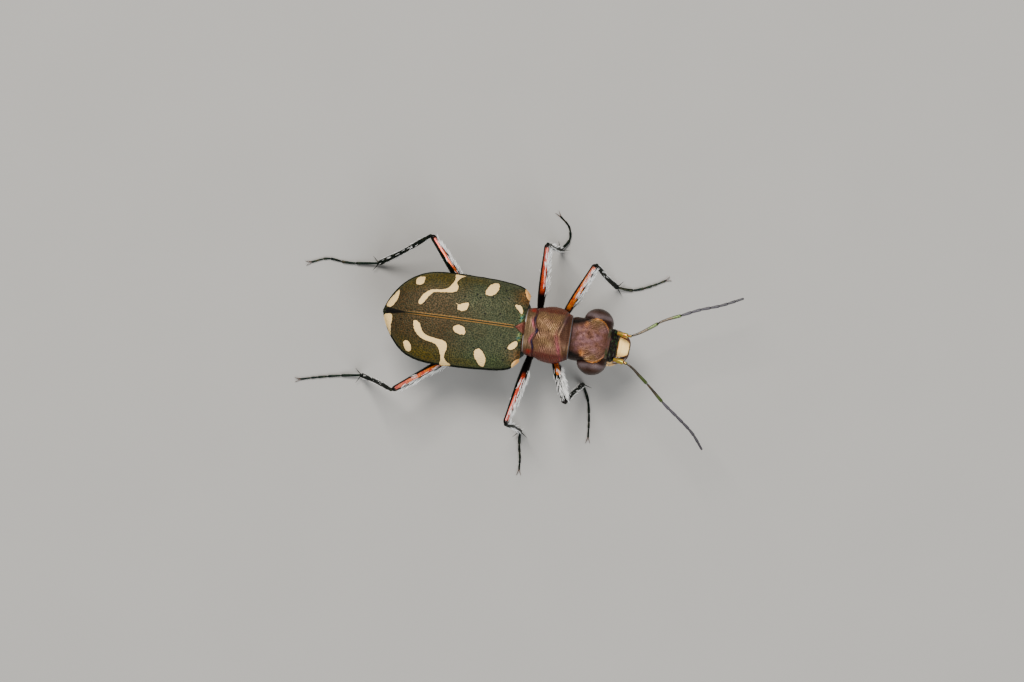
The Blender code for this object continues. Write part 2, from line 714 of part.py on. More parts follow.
def smooth_path(points, count):
    """Evenly timed points on a Catmull-Rom curve through the given ones."""
    knots = [Vector(point) for point in points]
    knots = [knots[0] * 2.0 - knots[1]] + knots + [knots[-1] * 2.0 - knots[-2]]
    spans = len(points) - 1
    result = []
    for i in range(count):
        along = spans * i / (count - 1)
        span = min(int(along), spans - 1)
        t = along - span
        a, b, c, d = knots[span:span + 4]
        result.append(0.5 * ((2.0 * b) + (c - a) * t + (2.0 * a - 5.0 * b + 4.0 * c - d) * t ** 2
                             + (3.0 * b - a - 3.0 * c + d) * t ** 3))
    return result


def build_antenna(side, collection):
    """Feeler of eleven joints, each a little thicker towards its end."""
    per_joint = 4
    count = ANTENNA_JOINTS * per_joint + 1
    points = smooth_path(ANTENNA_PATHS[side], count)
    radii = []
    for i in range(count):
        share = i / (count - 1)
        within = (i % per_joint) / per_joint
        taper = ANTENNA_RADIUS if share < 0.5 else ANTENNA_RADIUS + (
            ANTENNA_TIP_RADIUS - ANTENNA_RADIUS) * (share - 0.5) / 0.5
        radii.append(taper * (0.90 + 0.12 * within))
    return tube("antenna_" + side, points, radii, "feeler_grey", collection)


def step_past(joint, before, after, radius_before, radius_after):
    """Start of the next piece of a leg, GAP clear of the one that ends at the joint.

    It lies on the line to the next joint, further out the sharper the bend is.
    """
    joint = Vector(joint)
    back = (Vector(before) - joint).normalized()
    ahead = (Vector(after) - joint).normalized()
    bend = back.angle(ahead)
    if bend < math.pi / 2.0:
        clear = (radius_before + GAP + radius_after * math.cos(bend)) / math.sin(bend) + CAP_LENGTH
    else:
        clear = GAP + 2.0 * CAP_LENGTH + (radius_before - CAP_LENGTH) * math.sin(bend)
    return joint + ahead * clear


def build_femur(leg, collection, cutters):
    """Thigh from the hip to the knee, with the trochanter at its root."""
    pair = leg.split("_")[0]
    hip, knee = LEGS[leg][:2]
    radius = FEMUR_RADIUS[pair]
    points, radii = rounded_run(hip, knee, (HIP_RADIUS, radius, KNEE_RADIUS), 9)
    femur = to_mesh_object(tube("femur_" + leg, points, radii, "leg_red", collection))
    axis = (Vector(knee) - Vector(hip)).normalized()
    down = Vector((0.0, 0.0, -1.0))
    low = (down - axis * down.dot(axis)).normalized()
    start = Vector(hip) + low * TROCHANTER_DROP
    points, radii = rounded_run(start, start + axis * TROCHANTER_LENGTH, TROCHANTER_RADII, 5)
    trochanter = to_mesh_object(tube("trochanter_" + leg, points, radii, "leg_dark", cutters))
    fuse(femur, [trochanter])


def build_tibia(leg, collection, cutters):
    """Shank from the knee to the ankle, with two spurs at its end."""
    hip, knee, ankle = LEGS[leg][:3]
    start = step_past(knee, hip, ankle, KNEE_RADIUS, TIBIA_HEAD_RADIUS)
    points, radii = rounded_run(start, ankle, (TIBIA_HEAD_RADIUS, TIBIA_RADIUS, ANKLE_RADIUS), 8)
    tibia = to_mesh_object(tube("tibia_" + leg, points, radii, "leg_dark", collection))
    axis = (Vector(ankle) - start).normalized()
    foot = Vector((*LEGS[leg][3], 0.0)) - Vector(ankle)
    away = -(foot - axis * foot.dot(axis)).normalized()
    aside = axis.cross(away)
    spurs = []
    for sign in (1.0, -1.0):
        lean = (axis * 0.15 + away * 0.8 + aside * 0.45 * sign).normalized()
        root = Vector(ankle) - axis * 0.15
        tip = root + lean * SPUR_LENGTH
        tip.z = max(tip.z, 0.12)
        spurs.append(cone("spur", root, tip, SPUR_RADIUS, "leg_dark", cutters))
    fuse(tibia, spurs)


def build_tarsus(leg, collection, cutters):
    """Foot of five joints that comes down to the floor, with two claws and a flat sole."""
    hip, knee, ankle, claw, bow = LEGS[leg]
    toe = Vector((*claw, 0.0))
    heading = toe - Vector((ankle[0], ankle[1], 0.0))
    sideways = Vector((-heading.y, heading.x, 0.0)).normalized() * bow
    per_joint = 3
    count = TARSUS_JOINTS * per_joint + 1
    first = Vector((ankle[0], ankle[1], 0.0)) + heading * 0.2 + sideways * 0.64
    start = step_past(ankle, knee, (first.x, first.y, 0.3), ANKLE_RADIUS, TARSUS_RADIUS)
    reach = (toe.xy - start.xy).length
    stop = CLAW_LENGTH * 0.6 / reach
    points = []
    radii = []
    for i in range(count):
        share = (1.0 - stop) * i / (count - 1)
        radius = TARSUS_RADIUS + (TARSUS_TIP_RADIUS - TARSUS_RADIUS) * share
        flat = start.lerp(toe, share) + sideways * 4.0 * share * (1.0 - share)
        settle = (1.0 - min(1.0, share / TARSUS_LANDING)) ** 2
        height = radius * SOLE_SHARE + (start.z - TARSUS_RADIUS * SOLE_SHARE) * settle
        points.append(Vector((flat.x, flat.y, height)))
        radii.append(radius * (0.92 + 0.12 * (i % per_joint) / per_joint))
    foot = to_mesh_object(tube("tarsus_" + leg, points, radii, "leg_dark", collection))
    end = points[-1]
    ahead = (points[-1] - points[-3]).normalized()
    aside = Vector((-ahead.y, ahead.x, 0.0))
    claws = []
    for sign in (1.0, -1.0):
        tip = end + ahead * CLAW_LENGTH + aside * CLAW_SPREAD * sign
        tip.z = 0.03
        root = end - ahead * 0.12
        claws.append(cone("claw", root, tip, CLAW_RADIUS, "leg_dark", cutters))
    fuse(foot, claws)
    cut_at_floor(foot)


def cut_at_floor(obj):
    """Slice off what reaches below the floor and close the flat that is left."""
    bm = bmesh.new()
    bm.from_mesh(obj.data)
    cut = bmesh.ops.bisect_plane(
        bm,
        geom=bm.verts[:] + bm.edges[:] + bm.faces[:],
        dist=0.0000005,
        plane_co=(0.0, 0.0, 0.0),
        plane_no=(0.0, 0.0, -1.0),
        clear_outer=True,
    )
    rim = [item for item in cut["geom_cut"] if isinstance(item, bmesh.types.BMEdge)]
    bmesh.ops.holes_fill(bm, edges=rim)
    bmesh.ops.recalc_face_normals(bm, faces=bm.faces[:])
    bm.to_mesh(obj.data)
    bm.free()


def build_legs(collection, cutters):
    """Six legs, each a coxa, a femur, a tibia and a tarsus."""
    for leg in LEGS:
        pair, side = leg.split("_")
        (x, y, z), radii = COXA[pair]
        sign = 1.0 if side == "left" else -1.0
        ellipsoid("coxa_" + leg, (x, sign * y, z), radii, "leg_dark", collection, 12)
        build_femur(leg, collection, cutters)
        build_tibia(leg, collection, cutters)
        build_tarsus(leg, collection, cutters)


def centring_shift(collection):
    """Move that stands the whole on the floor with its box centred on the origin."""
    bpy.context.view_layer.update()
    depsgraph = bpy.context.evaluated_depsgraph_get()
    corners = []
    for obj in collection.objects:
        if obj.type == "EMPTY":
            continue
        mesh = obj.evaluated_get(depsgraph).to_mesh()
        places = np.empty(len(mesh.vertices) * 3)
        mesh.vertices.foreach_get("co", places)
        world = np.array(obj.matrix_world)
        places = places.reshape(-1, 3) @ world[:3, :3].T + world[:3, 3]
        corners.append(places.min(axis=0))
        corners.append(places.max(axis=0))
        obj.evaluated_get(depsgraph).to_mesh_clear()
    low = np.min(corners, axis=0)
    high = np.max(corners, axis=0)
    middle = (low + high) / 2.0
    return Vector((-middle[0], -middle[1], -low[2]))


def main():
    clear_scene()
    beetle = new_collection("tiger_beetle")
    cutters = new_collection("cutters")
    root = bpy.data.objects.new("beetle", None)
    beetle.objects.link(root)
    build_wing_cases(beetle, cutters)
    build_abdomen(beetle)
    build_pterothorax(beetle, cutters)
    build_prothorax(beetle, cutters)
    build_head(beetle, cutters)
    build_labrum(beetle)
    build_mouth(beetle, cutters)
    for side in ("left", "right"):
        build_antenna(side, beetle)
    build_legs(beetle, cutters)
    shift = centring_shift(beetle)
    for obj in list(beetle.objects) + list(cutters.objects):
        if obj is not root:
            obj.parent = root
    root.location = shift


if __name__ == "__main__":
    main()
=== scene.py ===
"""Tiger beetle: a still, life-size model on its six feet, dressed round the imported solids.

Lengths are millimetres in the beetle's own axes: X points to the head from the middle of the wing
cases' base, Y to the beetle's left, Z up from the floor. place() turns them into the frame's metres.
"""
import math

import bpy
import numpy as np
from bpy.props import FloatProperty, FloatVectorProperty, IntProperty, PointerProperty
from mathutils import Matrix, Vector


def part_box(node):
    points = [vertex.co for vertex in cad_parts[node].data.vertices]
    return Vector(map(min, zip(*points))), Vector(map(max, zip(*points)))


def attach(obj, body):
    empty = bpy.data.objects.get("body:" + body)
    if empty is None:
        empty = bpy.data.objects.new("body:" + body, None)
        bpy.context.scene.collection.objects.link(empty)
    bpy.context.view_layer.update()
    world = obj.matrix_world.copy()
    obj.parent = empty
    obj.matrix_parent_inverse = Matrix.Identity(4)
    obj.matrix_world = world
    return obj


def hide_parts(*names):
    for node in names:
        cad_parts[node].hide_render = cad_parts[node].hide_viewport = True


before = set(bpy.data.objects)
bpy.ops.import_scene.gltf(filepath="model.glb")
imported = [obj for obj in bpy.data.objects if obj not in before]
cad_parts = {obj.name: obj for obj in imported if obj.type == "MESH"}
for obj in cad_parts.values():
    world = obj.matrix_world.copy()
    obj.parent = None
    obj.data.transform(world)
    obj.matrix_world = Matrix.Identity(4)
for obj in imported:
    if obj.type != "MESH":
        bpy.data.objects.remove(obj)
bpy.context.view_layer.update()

bl_info = {
    "name": "Tiger Beetle Model",
    "version": (1, 0, 0),
    "blender": (4, 5, 0),
    "location": "View3D > Sidebar > Beetle",
    "description": "Builds a life-size tiger beetle with punctured wing cases, bristles and a studio stage",
    "category": "Object",
}

MM = 0.001
SIDES = (("left", 1.0), ("right", -1.0))
SEED = 4127

# Wing cases, the same named sizes as the solids.
WING_APEX_X = -6.95
WING_WIDEST_X = -3.3
WING_BASE_X = 0.05
WING_HALF_WIDTH = 2.33
WING_TOP_Z = 4.60
WING_MARGIN_Z = 3.35
WING_REAR_POWER = 3.5
WING_REAR_ROUND = 1.22
WING_ARCH_POWER = 2.6
WING_ARCH_ROUND = 0.6
# Section of a wing case: y as sin to the first power, z as cos to the second.
WING_SECTION = (0.87, 0.952)
WING_COLUMNS = 176
WING_INNER_STEP = 12
WING_SEAM_GAP = 0.006
WING_LEAN = 0.045
BASE_DIP = 0.17
SHOULDER_LIFT = 0.50
CAD_WING_REAR_X = WING_APEX_X + 0.05
CAD_WING_SEAM_Y = 0.15

# The solids' own place gives the shift from the beetle's axes to the frame's.
WING_LOW, WING_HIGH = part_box("elytron_left")
SHIFT = np.array((WING_LOW[0] / MM - CAD_WING_REAR_X, WING_LOW[1] / MM - CAD_WING_SEAM_Y, 0.0))

# Fore thorax and head: axis, turn and pivot.
PRO_PIVOT = (0.35, -0.05)
PRO_YAW = math.radians(-1.0)
HEAD_PIVOT = (2.73, -0.09)
HEAD_YAW = math.radians(-3.0)
EYE_CENTRE = (3.775, 0.98, 3.42)
EYE_RADII = (0.76, 0.70, 0.68)
EYE_TURN = math.radians(13.0)

# Cream marks in plan: points round the outline of each, from the shoulder to the apex.
MARKS = {
    "left": (
        ((-0.05, 1.90), (0.06, 2.02), (0.24, 1.78), (0.34, 1.52), (0.21, 1.40), (0.05, 1.60)),
        ((-0.45, 1.05), (-0.33, 1.12), (-0.14, 1.07), (-0.02, 0.90), (-0.01, 0.70), (-0.08, 0.67),
         (-0.22, 0.80), (-0.37, 0.93)),
        ((-2.01, 1.49), (-1.94, 1.70), (-1.81, 1.92), (-1.62, 2.04), (-1.37, 2.06), (-1.33, 1.85),
         (-1.39, 1.62), (-1.56, 1.42), (-1.77, 1.36), (-1.95, 1.40)),
        ((-3.37, 0.76), (-3.19, 0.73), (-3.03, 0.82), (-2.74, 0.87), (-2.74, 0.66), (-2.81, 0.48),
         (-3.04, 0.40), (-3.28, 0.46), (-3.27, 0.62)),
        ((-3.60, 2.22), (-3.34, 2.25), (-3.05, 2.22), (-3.26, 2.09), (-3.38, 1.97), (-3.45, 1.79),
         (-3.35, 1.60), (-3.42, 1.37), (-3.62, 1.26), (-3.90, 1.24), (-4.21, 1.20), (-4.48, 1.17),
         (-4.68, 1.02), (-4.88, 0.74), (-5.00, 0.54), (-5.16, 0.48), (-5.26, 0.61), (-5.16, 0.86),
         (-4.97, 1.11), (-4.72, 1.28), (-4.41, 1.34), (-4.09, 1.39), (-3.85, 1.51), (-3.72, 1.68),
         (-3.63, 1.84), (-3.57, 2.05)),
        ((-5.52, 1.66), (-5.45, 1.84), (-5.26, 1.92), (-5.07, 1.91), (-5.08, 1.72), (-5.13, 1.54),
         (-5.30, 1.45), (-5.46, 1.49)),
        ((-6.27, 1.15), (-6.25, 0.87), (-6.33, 0.54), (-6.48, 0.29), (-6.67, 0.19), (-6.81, 0.23),
         (-6.80, 0.42), (-6.64, 0.68), (-6.44, 0.96)),
    ),
    "right": (
        ((-0.18, -2.02), (-0.25, -1.90), (-0.08, -1.64), (0.10, -1.54), (0.17, -1.65), (0.00, -1.97)),
        ((-0.53, -1.05), (-0.40, -0.85), (-0.21, -0.72), (-0.08, -0.75), (-0.07, -0.92), (-0.20, -1.11),
         (-0.36, -1.19), (-0.49, -1.16)),
        ((-2.16, -1.46), (-1.98, -1.32), (-1.79, -1.41), (-1.61, -1.62), (-1.53, -1.83), (-1.55, -2.02),
         (-1.60, -2.17), (-1.81, -2.13), (-2.02, -1.91), (-2.14, -1.68)),
        ((-3.34, -0.40), (-3.10, -0.28), (-2.85, -0.37), (-2.73, -0.54), (-2.75, -0.75), (-2.99, -0.77),
         (-3.20, -0.70), (-3.36, -0.58)),
        ((-3.81, -2.33), (-3.50, -2.34), (-3.22, -2.28), (-3.45, -2.16), (-3.58, -2.02), (-3.62, -1.86),
         (-3.54, -1.63), (-3.53, -1.42), (-3.61, -1.25), (-3.80, -1.15), (-4.07, -1.12), (-4.33, -1.07),
         (-4.61, -1.01), (-4.82, -0.88), (-4.95, -0.66), (-5.04, -0.46), (-5.23, -0.34), (-5.38, -0.40),
         (-5.34, -0.61), (-5.28, -0.80), (-5.14, -0.99), (-4.88, -1.19), (-4.55, -1.30), (-4.20, -1.37),
         (-4.00, -1.53), (-3.88, -1.75), (-3.80, -1.98), (-3.80, -2.17)),
        ((-5.75, -1.50), (-5.64, -1.38), (-5.47, -1.42), (-5.33, -1.59), (-5.29, -1.80), (-5.40, -1.93),
         (-5.56, -1.86), (-5.67, -1.70)),
        ((-6.90, -0.21), (-6.71, -0.13), (-6.52, -0.15), (-6.44, -0.33), (-6.46, -0.61), (-6.44, -0.90),
         (-6.43, -1.17), (-6.63, -0.86), (-6.83, -0.53)),
    ),
}

# Legs: hip, knee and ankle, then the foot's path along the floor to the claws.
LEGS = {
    "front_left": ((2.03, 1.00, 1.95), (3.28, 3.68, 3.80), (4.47, 2.98, 0.30),
                   ((5.24, 2.96, 0.09), (6.24, 3.33, 0.07), (6.87, 3.68, 0.05))),
    "front_right": ((1.80, -1.00, 1.95), (2.67, -3.43, 4.05), (3.44, -2.10, 0.30),
                    ((3.79, -2.84, 0.09), (3.98, -3.85, 0.07), (4.05, -4.73, 0.05))),
    "mid_left": ((0.81, 1.12, 1.85), (0.74, 4.35, 4.05), (1.40, 4.46, 0.28),
                 ((1.79, 5.10, 0.09), (1.69, 5.67, 0.07), (1.16, 6.19, 0.05))),
    "mid_right": ((0.65, -1.05, 1.85), (-0.14, -4.85, 3.65), (0.62, -4.87, 0.28),
                  ((0.68, -5.60, 0.09), (0.80, -6.25, 0.07), (0.83, -6.80, 0.05))),
    "hind_left": ((-2.63, 1.20, 1.74), (-5.04, 4.03, 3.90), (-7.56, 2.56, 0.28),
                  ((-9.27, 2.41, 0.09), (-10.15, 2.48, 0.07), (-10.97, 2.18, 0.05))),
    "hind_right": ((-2.48, -1.15, 1.74), (-5.97, -3.93, 3.70), (-7.66, -3.15, 0.28),
                   ((-8.79, -3.31, 0.09), (-9.80, -3.52, 0.07), (-10.71, -3.75, 0.05))),
}
COXAE = {
    "front": ((1.60, 0.58, 2.00), (0.44, 0.36, 0.46)),
    "mid": ((0.26, 0.64, 1.96), (0.42, 0.42, 0.34)),
    "hind": ((-2.06, 0.76, 1.94), (0.46, 0.76, 0.26)),
}
# The thighs' red metal: share of the thigh where it starts and ends, how orange it is, and where across
# the thigh its rear edge lies near the root and near the knee, -1 being the rear side and 1 the front.
THIGH_COLOURING = {
    "front_left": (0.17, 1.00, 1.0, -0.50, -0.50),
    "front_right": (0.16, 0.48, 1.0, -0.40, -0.30),
    "mid_left": (0.30, 1.00, 0.15, -0.50, -0.55),
    "mid_right": (0.31, 1.00, 0.10, -0.30, -0.45),
    "hind_left": (0.26, 1.00, 0.40, 0.14, -0.28),
    "hind_right": (0.24, 1.00, 0.70, -0.20, -0.45),
}

# Feelers: the run from the head to the tip.
FEELERS = {
    "left": ((4.80, 0.45, 3.38), (5.10, 0.40, 3.50), (5.45, 0.37, 3.58), (5.74, 0.49, 3.60),
             (6.39, 0.91, 3.62), (6.89, 1.28, 3.62), (7.93, 1.77, 3.65), (8.74, 2.14, 3.66),
             (9.70, 2.47, 3.68), (10.84, 3.00, 3.70)),
    "right": ((4.78, -0.88, 3.38), (5.06, -0.94, 3.50), (5.40, -1.00, 3.58), (5.71, -1.16, 3.60),
              (6.22, -1.57, 3.62), (6.67, -1.94, 3.62), (7.59, -2.77, 3.64), (8.49, -3.46, 3.66),
              (9.17, -4.03, 3.68), (9.78, -4.80, 3.70)),
}
# Legs: radii as profiles of share and radius, the bows of thigh and shank, spurs and claws.
THIGH_RADIUS = ((0.0, 0.15), (0.12, 0.20), (0.30, 0.230), (0.60, 0.210), (0.88, 0.170), (1.0, 0.165))
SHANK_RADIUS = ((0.0, 0.10), (0.06, 0.088), (0.15, 0.108), (0.60, 0.108), (0.92, 0.130), (1.0, 0.130))
ROOT_JOINT_RADIUS = ((0.0, 0.17), (0.4, 0.20), (0.7, 0.18), (1.0, 0.14))
THIGH_BOW = 0.10
SHANK_BOW = 0.05
SPUR_LENGTH = 0.50
CLAW_REACH = 0.30

# Lengths of a feeler's eleven joints, and the radius of each at its root and its outer end.
FEELER_JOINTS = (0.58, 0.17, 1.44, 1.18, 0.50, 0.48, 0.46, 0.44, 0.42, 0.40, 0.42)
FEELER_RADII = (
    (0.098, 0.128), (0.062, 0.080), (0.054, 0.086), (0.056, 0.084), (0.062, 0.080), (0.064, 0.079),
    (0.064, 0.078), (0.063, 0.077), (0.062, 0.076), (0.061, 0.074), (0.062, 0.056),
)
FEELER_METAL_END = 0.517
# A foot's five joints: the share of its length, and the radii as for the feelers.
FOOT_SHARES = (0.34, 0.21, 0.16, 0.11, 0.18)
FOOT_RADII = ((0.058, 0.072), (0.048, 0.064), (0.045, 0.060), (0.042, 0.056), (0.038, 0.050))

# Mouth feelers, inner mouth lobes and the lower lip's feelers: runs on the left side, lengths of the
# joints and their radii.
MOUTH_FEELER = (
    ((3.95, 0.60, 2.42), (4.12, 0.74, 2.00), (4.40, 0.84, 1.52), (4.68, 0.84, 1.18), (4.98, 0.66, 0.98)),
    (0.28, 0.62, 0.42, 0.52), ((0.07, 0.09), (0.06, 0.085), (0.055, 0.075), (0.05, 0.06)),
)
MOUTH_LOBE = (
    ((4.10, 0.42, 2.30), (4.45, 0.50, 2.05), (4.80, 0.46, 1.85)),
    (0.3, 0.32), ((0.06, 0.07), (0.05, 0.05)),
)
LOWER_LIP_FEELER = (
    ((4.10, 0.12, 2.10), (4.32, 0.22, 1.72), (4.62, 0.32, 1.36), (4.90, 0.36, 1.14)),
    (0.22, 0.50, 0.40), ((0.06, 0.08), (0.06, 0.08), (0.05, 0.06)),
)
# Teeth of a jaw: place along it and length.
JAW_TEETH = ((0.34, 0.22), (0.50, 0.19), (0.66, 0.15))

# Sections of the body as profiles of place and value: half width, top, underside, height of the
# widest place, and power of the superellipse.
THORAX_BLOCK = {
    "half": ((0.0, 0.95), (0.03, 1.22), (0.08, 1.42), (0.16, 1.52), (0.40, 1.62), (0.7, 1.84), (1.0, 1.96)),
    "top": ((0.0, 3.85), (0.15, 4.10), (0.4, 4.36), (1.0, 4.40)),
    "bottom": ((0.0, 2.35), (0.15, 2.05), (0.5, 1.92), (1.0, 1.93)),
    "widest": ((0.0, 3.10), (0.3, 3.15), (1.0, 3.20)),
    "power": ((0.0, 2.5), (1.0, 2.5)),
}
FORE_THORAX = {
    "half": ((0.06, 1.06), (0.15, 1.13), (0.33, 1.165), (0.60, 1.225), (0.80, 1.235), (1.10, 1.34),
             (1.45, 1.41), (1.85, 1.40), (2.15, 1.30), (2.35, 1.18), (2.50, 1.05), (2.53, 0.99)),
    "top": ((0.06, 4.10), (0.15, 4.19), (0.40, 4.20), (0.70, 4.22), (1.00, 4.36), (1.45, 4.43),
            (1.85, 4.38), (2.15, 4.27), (2.40, 4.20), (2.50, 4.12), (2.53, 4.05)),
    "bottom": ((0.06, 2.55), (0.5, 2.30), (1.2, 2.12), (2.0, 2.20), (2.53, 2.45)),
    "widest": ((0.06, 3.25), (1.2, 3.12), (2.53, 3.15)),
    "power": ((0.06, 2.7), (1.2, 2.35), (2.53, 2.5)),
}
HEAD = {
    "half": ((2.36, 0.96), (2.60, 1.07), (3.00, 1.09), (3.30, 1.09), (3.75, 1.16), (4.00, 1.10),
             (4.15, 0.98), (4.32, 0.86), (4.50, 0.83), (4.65, 0.85), (4.80, 0.76), (4.90, 0.60), (4.94, 0.50)),
    "top": ((2.36, 3.90), (2.65, 4.02), (3.00, 4.14), (3.40, 4.18), (3.85, 4.19), (4.10, 4.15), (4.30, 4.06),
            (4.44, 3.93), (4.56, 3.72), (4.66, 3.60), (4.78, 3.47), (4.90, 3.32), (4.94, 3.20)),
    "bottom": ((2.36, 2.45), (3.0, 2.38), (3.8, 2.42), (4.4, 2.52), (4.8, 2.72), (4.92, 2.95)),
    "widest": ((2.36, 3.10), (4.94, 3.10)),
    "power": ((2.36, 2.6), (2.9, 3.2), (3.3, 6.0), (3.8, 8.0), (4.15, 6.0), (4.35, 4.0), (4.5, 3.0),
              (4.92, 2.6)),
}
# Half width of the head between the eyes, and of the black at the wing cases' rear end.
EYE_INNER_EDGE = ((2.36, 1.2), (3.15, 1.04), (3.30, 1.03), (3.75, 1.12), (4.11, 0.96), (4.32, 0.67),
                  (4.42, 0.45), (4.92, 0.3))
WING_BLACK = ((-7.0, 0.16), (-6.8, 0.15), (-6.5, 0.13), (-6.28, 0.095), (-6.08, 0.06), (-5.85, 0.02),
              (-5.6, -0.05), (0.5, -0.1))

# Camera, looking almost straight down from the beetle's right side.
VIEW_TURN = math.radians(7.8)
VIEW_RISE = math.radians(85.5)
VIEW_TARGET = (-0.352, -0.740, 4.45)
PHOTO_WIDTH_MM = 51.10


# Settings of the panel


class BeetleSizes(bpy.types.PropertyGroup):
    """Sizes of the fine relief and the hairs."""

    puncture_pitch: FloatProperty(
        name="Puncture Pitch", description="Distance between the wing cases' punctures, in mm", default=0.098)
    puncture_depth: FloatProperty(
        name="Puncture Depth", description="Depth of the wing cases' punctures, in mm", default=0.013)
    wrinkle_pitch: FloatProperty(
        name="Wrinkle Pitch", description="Distance between the fore thorax's wrinkles, in mm", default=0.090)
    wrinkle_depth: FloatProperty(
        name="Wrinkle Depth", description="Depth of the wrinkles on fore thorax and head, in mm", default=0.014)
    wing_thickness: FloatProperty(
        name="Wing Case Thickness", description="Thickness of a wing case, in mm", default=0.09)
    bristle_width: FloatProperty(
        name="Bristle Width", description="Thickness of a bristle at its root, in mm", default=0.026)
    wing_rows: IntProperty(
        name="Wing Case Rows", description="Rows of points along a wing case", default=430)


class BeetleColours(bpy.types.PropertyGroup):
    """Main colours of the cuticle."""

    wing_green: FloatVectorProperty(
        name="Wing Green", description="Olive green of the wing cases' front", subtype="COLOR", size=4,
        default=(0.0390, 0.0422, 0.0200, 1.0))
    wing_brown: FloatVectorProperty(
        name="Wing Brown", description="Coppery brown of the wing cases' rear", subtype="COLOR", size=4,
        default=(0.0430, 0.0262, 0.0102, 1.0))
    wing_olive: FloatVectorProperty(
        name="Wing Olive", description="Yellow olive of the wing cases' hind edges", subtype="COLOR", size=4,
        default=(0.066, 0.046, 0.005, 1.0))
    cream: FloatVectorProperty(
        name="Cream", description="Cream of the wing cases' marks", subtype="COLOR", size=4,
        default=(0.80, 0.55, 0.222, 1.0))
    copper: FloatVectorProperty(
        name="Copper", description="Copper brown of the fore thorax", subtype="COLOR", size=4,
        default=(0.115, 0.058, 0.030, 1.0))
    maroon: FloatVectorProperty(
        name="Maroon", description="Maroon of the head", subtype="COLOR", size=4,
        default=(0.090, 0.036, 0.022, 1.0))
    leg_red: FloatVectorProperty(
        name="Leg Red", description="Metallic red of the thighs", subtype="COLOR", size=4,
        default=(0.56, 0.048, 0.022, 1.0))
    bristle_white: FloatVectorProperty(
        name="Bristle White", description="White of the bristles", subtype="COLOR", size=4,
        default=(0.93, 0.92, 0.89, 1.0))


class StageSettings(bpy.types.PropertyGroup):
    """Floor, lamps and lens."""

    floor_colour: FloatVectorProperty(
        name="Floor Colour", description="Pale grey of the floor", subtype="COLOR", size=4,
        default=(0.310, 0.300, 0.282, 1.0))
    camera_distance: FloatProperty(
        name="Camera Distance", description="Distance of the camera from the back, in mm", default=500.0)
    key_power: FloatProperty(
        name="Key Power", description="Power of the large main lamp", unit="POWER", default=2.1)
    sky: FloatProperty(
        name="Sky", description="Strength of the even light from all round", default=0.34)


# Shapes


def place(points):
    """Frame metres of points given in the beetle's millimetres."""
    return (np.asarray(points, dtype=float) + SHIFT) * MM


def turned(points, pivot, yaw):
    """Points given on a straight axis, turned by yaw about the pivot's X and moved to its Y."""
    points = np.array(points, dtype=float)
    along = points[..., 0] - pivot[0]
    across = points[..., 1].copy()
    points[..., 0] = pivot[0] + along * math.cos(yaw) - across * math.sin(yaw)
    points[..., 1] = pivot[1] + along * math.sin(yaw) + across * math.cos(yaw)
    return points


def unit(vectors):
    """Vectors divided by their lengths."""
    return vectors / np.maximum(np.linalg.norm(vectors, axis=-1, keepdims=True), 1e-12)


def smoothstep(low, high, value):
    """0 below low, 1 above high, 3t^2 - 2t^3 between."""
    t = np.clip((value - low) / (high - low), 0.0, 1.0)
    return t * t * (3.0 - 2.0 * t)


def hump(value, centre, width):
    """Bell exp(-((value - centre) / width)^2)."""
    return np.exp(-((value - centre) / width) ** 2)


def through(at, knots):
    """Smooth profile through (place, value) knots: cubic pieces with the mean of the neighbouring slopes."""
    places, values = np.array(knots, dtype=float).T
    slopes = np.gradient(values, places)
    at = np.clip(at, places[0], places[-1])
    k = np.clip(np.searchsorted(places, at, side="right") - 1, 0, len(places) - 2)
    span = places[k + 1] - places[k]
    t = (at - places[k]) / span
    return ((2 * t ** 3 - 3 * t ** 2 + 1) * values[k] + (t ** 3 - 2 * t ** 2 + t) * span * slopes[k]
            + (3 * t ** 2 - 2 * t ** 3) * values[k + 1] + (t ** 3 - t ** 2) * span * slopes[k + 1])


def curve_through(points, share):
    """Places on the smooth curve through the points, share 0 to 1 of its length."""
    points = np.array(points, dtype=float)
    lengths = np.concatenate([[0.0], np.cumsum(np.linalg.norm(np.diff(points, axis=0), axis=1))])
    at = share * lengths[-1]
    return np.stack([through(at, np.stack([lengths, points[:, c]], axis=1)) for c in range(3)], axis=-1)


def ripples(place_along, pitch):
    """Even ripples from -1 to 1: sin(2 pi place / pitch)."""
    return np.sin(2.0 * np.pi * place_along / pitch)


def whole_hash(a, b, salt):
    """Number from 0 to 1 that depends only on two whole numbers and a salt."""
    n = (a.astype(np.int64) * 73856093) ^ (b.astype(np.int64) * 19349663) ^ (salt * 83492791)
    n = (n ^ (n >> 13)) * 1274126177 & 0x7FFFFFFF
    n = (n ^ (n >> 16)) * 1103515245 & 0x7FFFFFFF
    return (n >> 7) % 65536 / 65535.0


def scattered_pits(x, y, pitch, jitter=0.75, salt=1):
    """Distance to the nearest of many points, one in each square of side pitch and moved about in it,
    and a number from 0 to 1 that is that point's own."""
    column = np.floor(x / pitch)
    row = np.floor(y / pitch)
    nearest = np.full(np.shape(x), 1e9)
    own = np.zeros(np.shape(x))
    for step_x in (-1, 0, 1):
        for step_y in (-1, 0, 1):
            a = column + step_x
            b = row + step_y
            centre_x = (a + 0.5 + jitter * (whole_hash(a, b, salt) - 0.5)) * pitch
            centre_y = (b + 0.5 + jitter * (whole_hash(a, b, salt + 7) - 0.5)) * pitch
            distance = np.hypot(x - centre_x, y - centre_y)
            closer = distance < nearest
            nearest = np.where(closer, distance, nearest)
            own = np.where(closer, whole_hash(a, b, salt + 13), own)
    return nearest, own


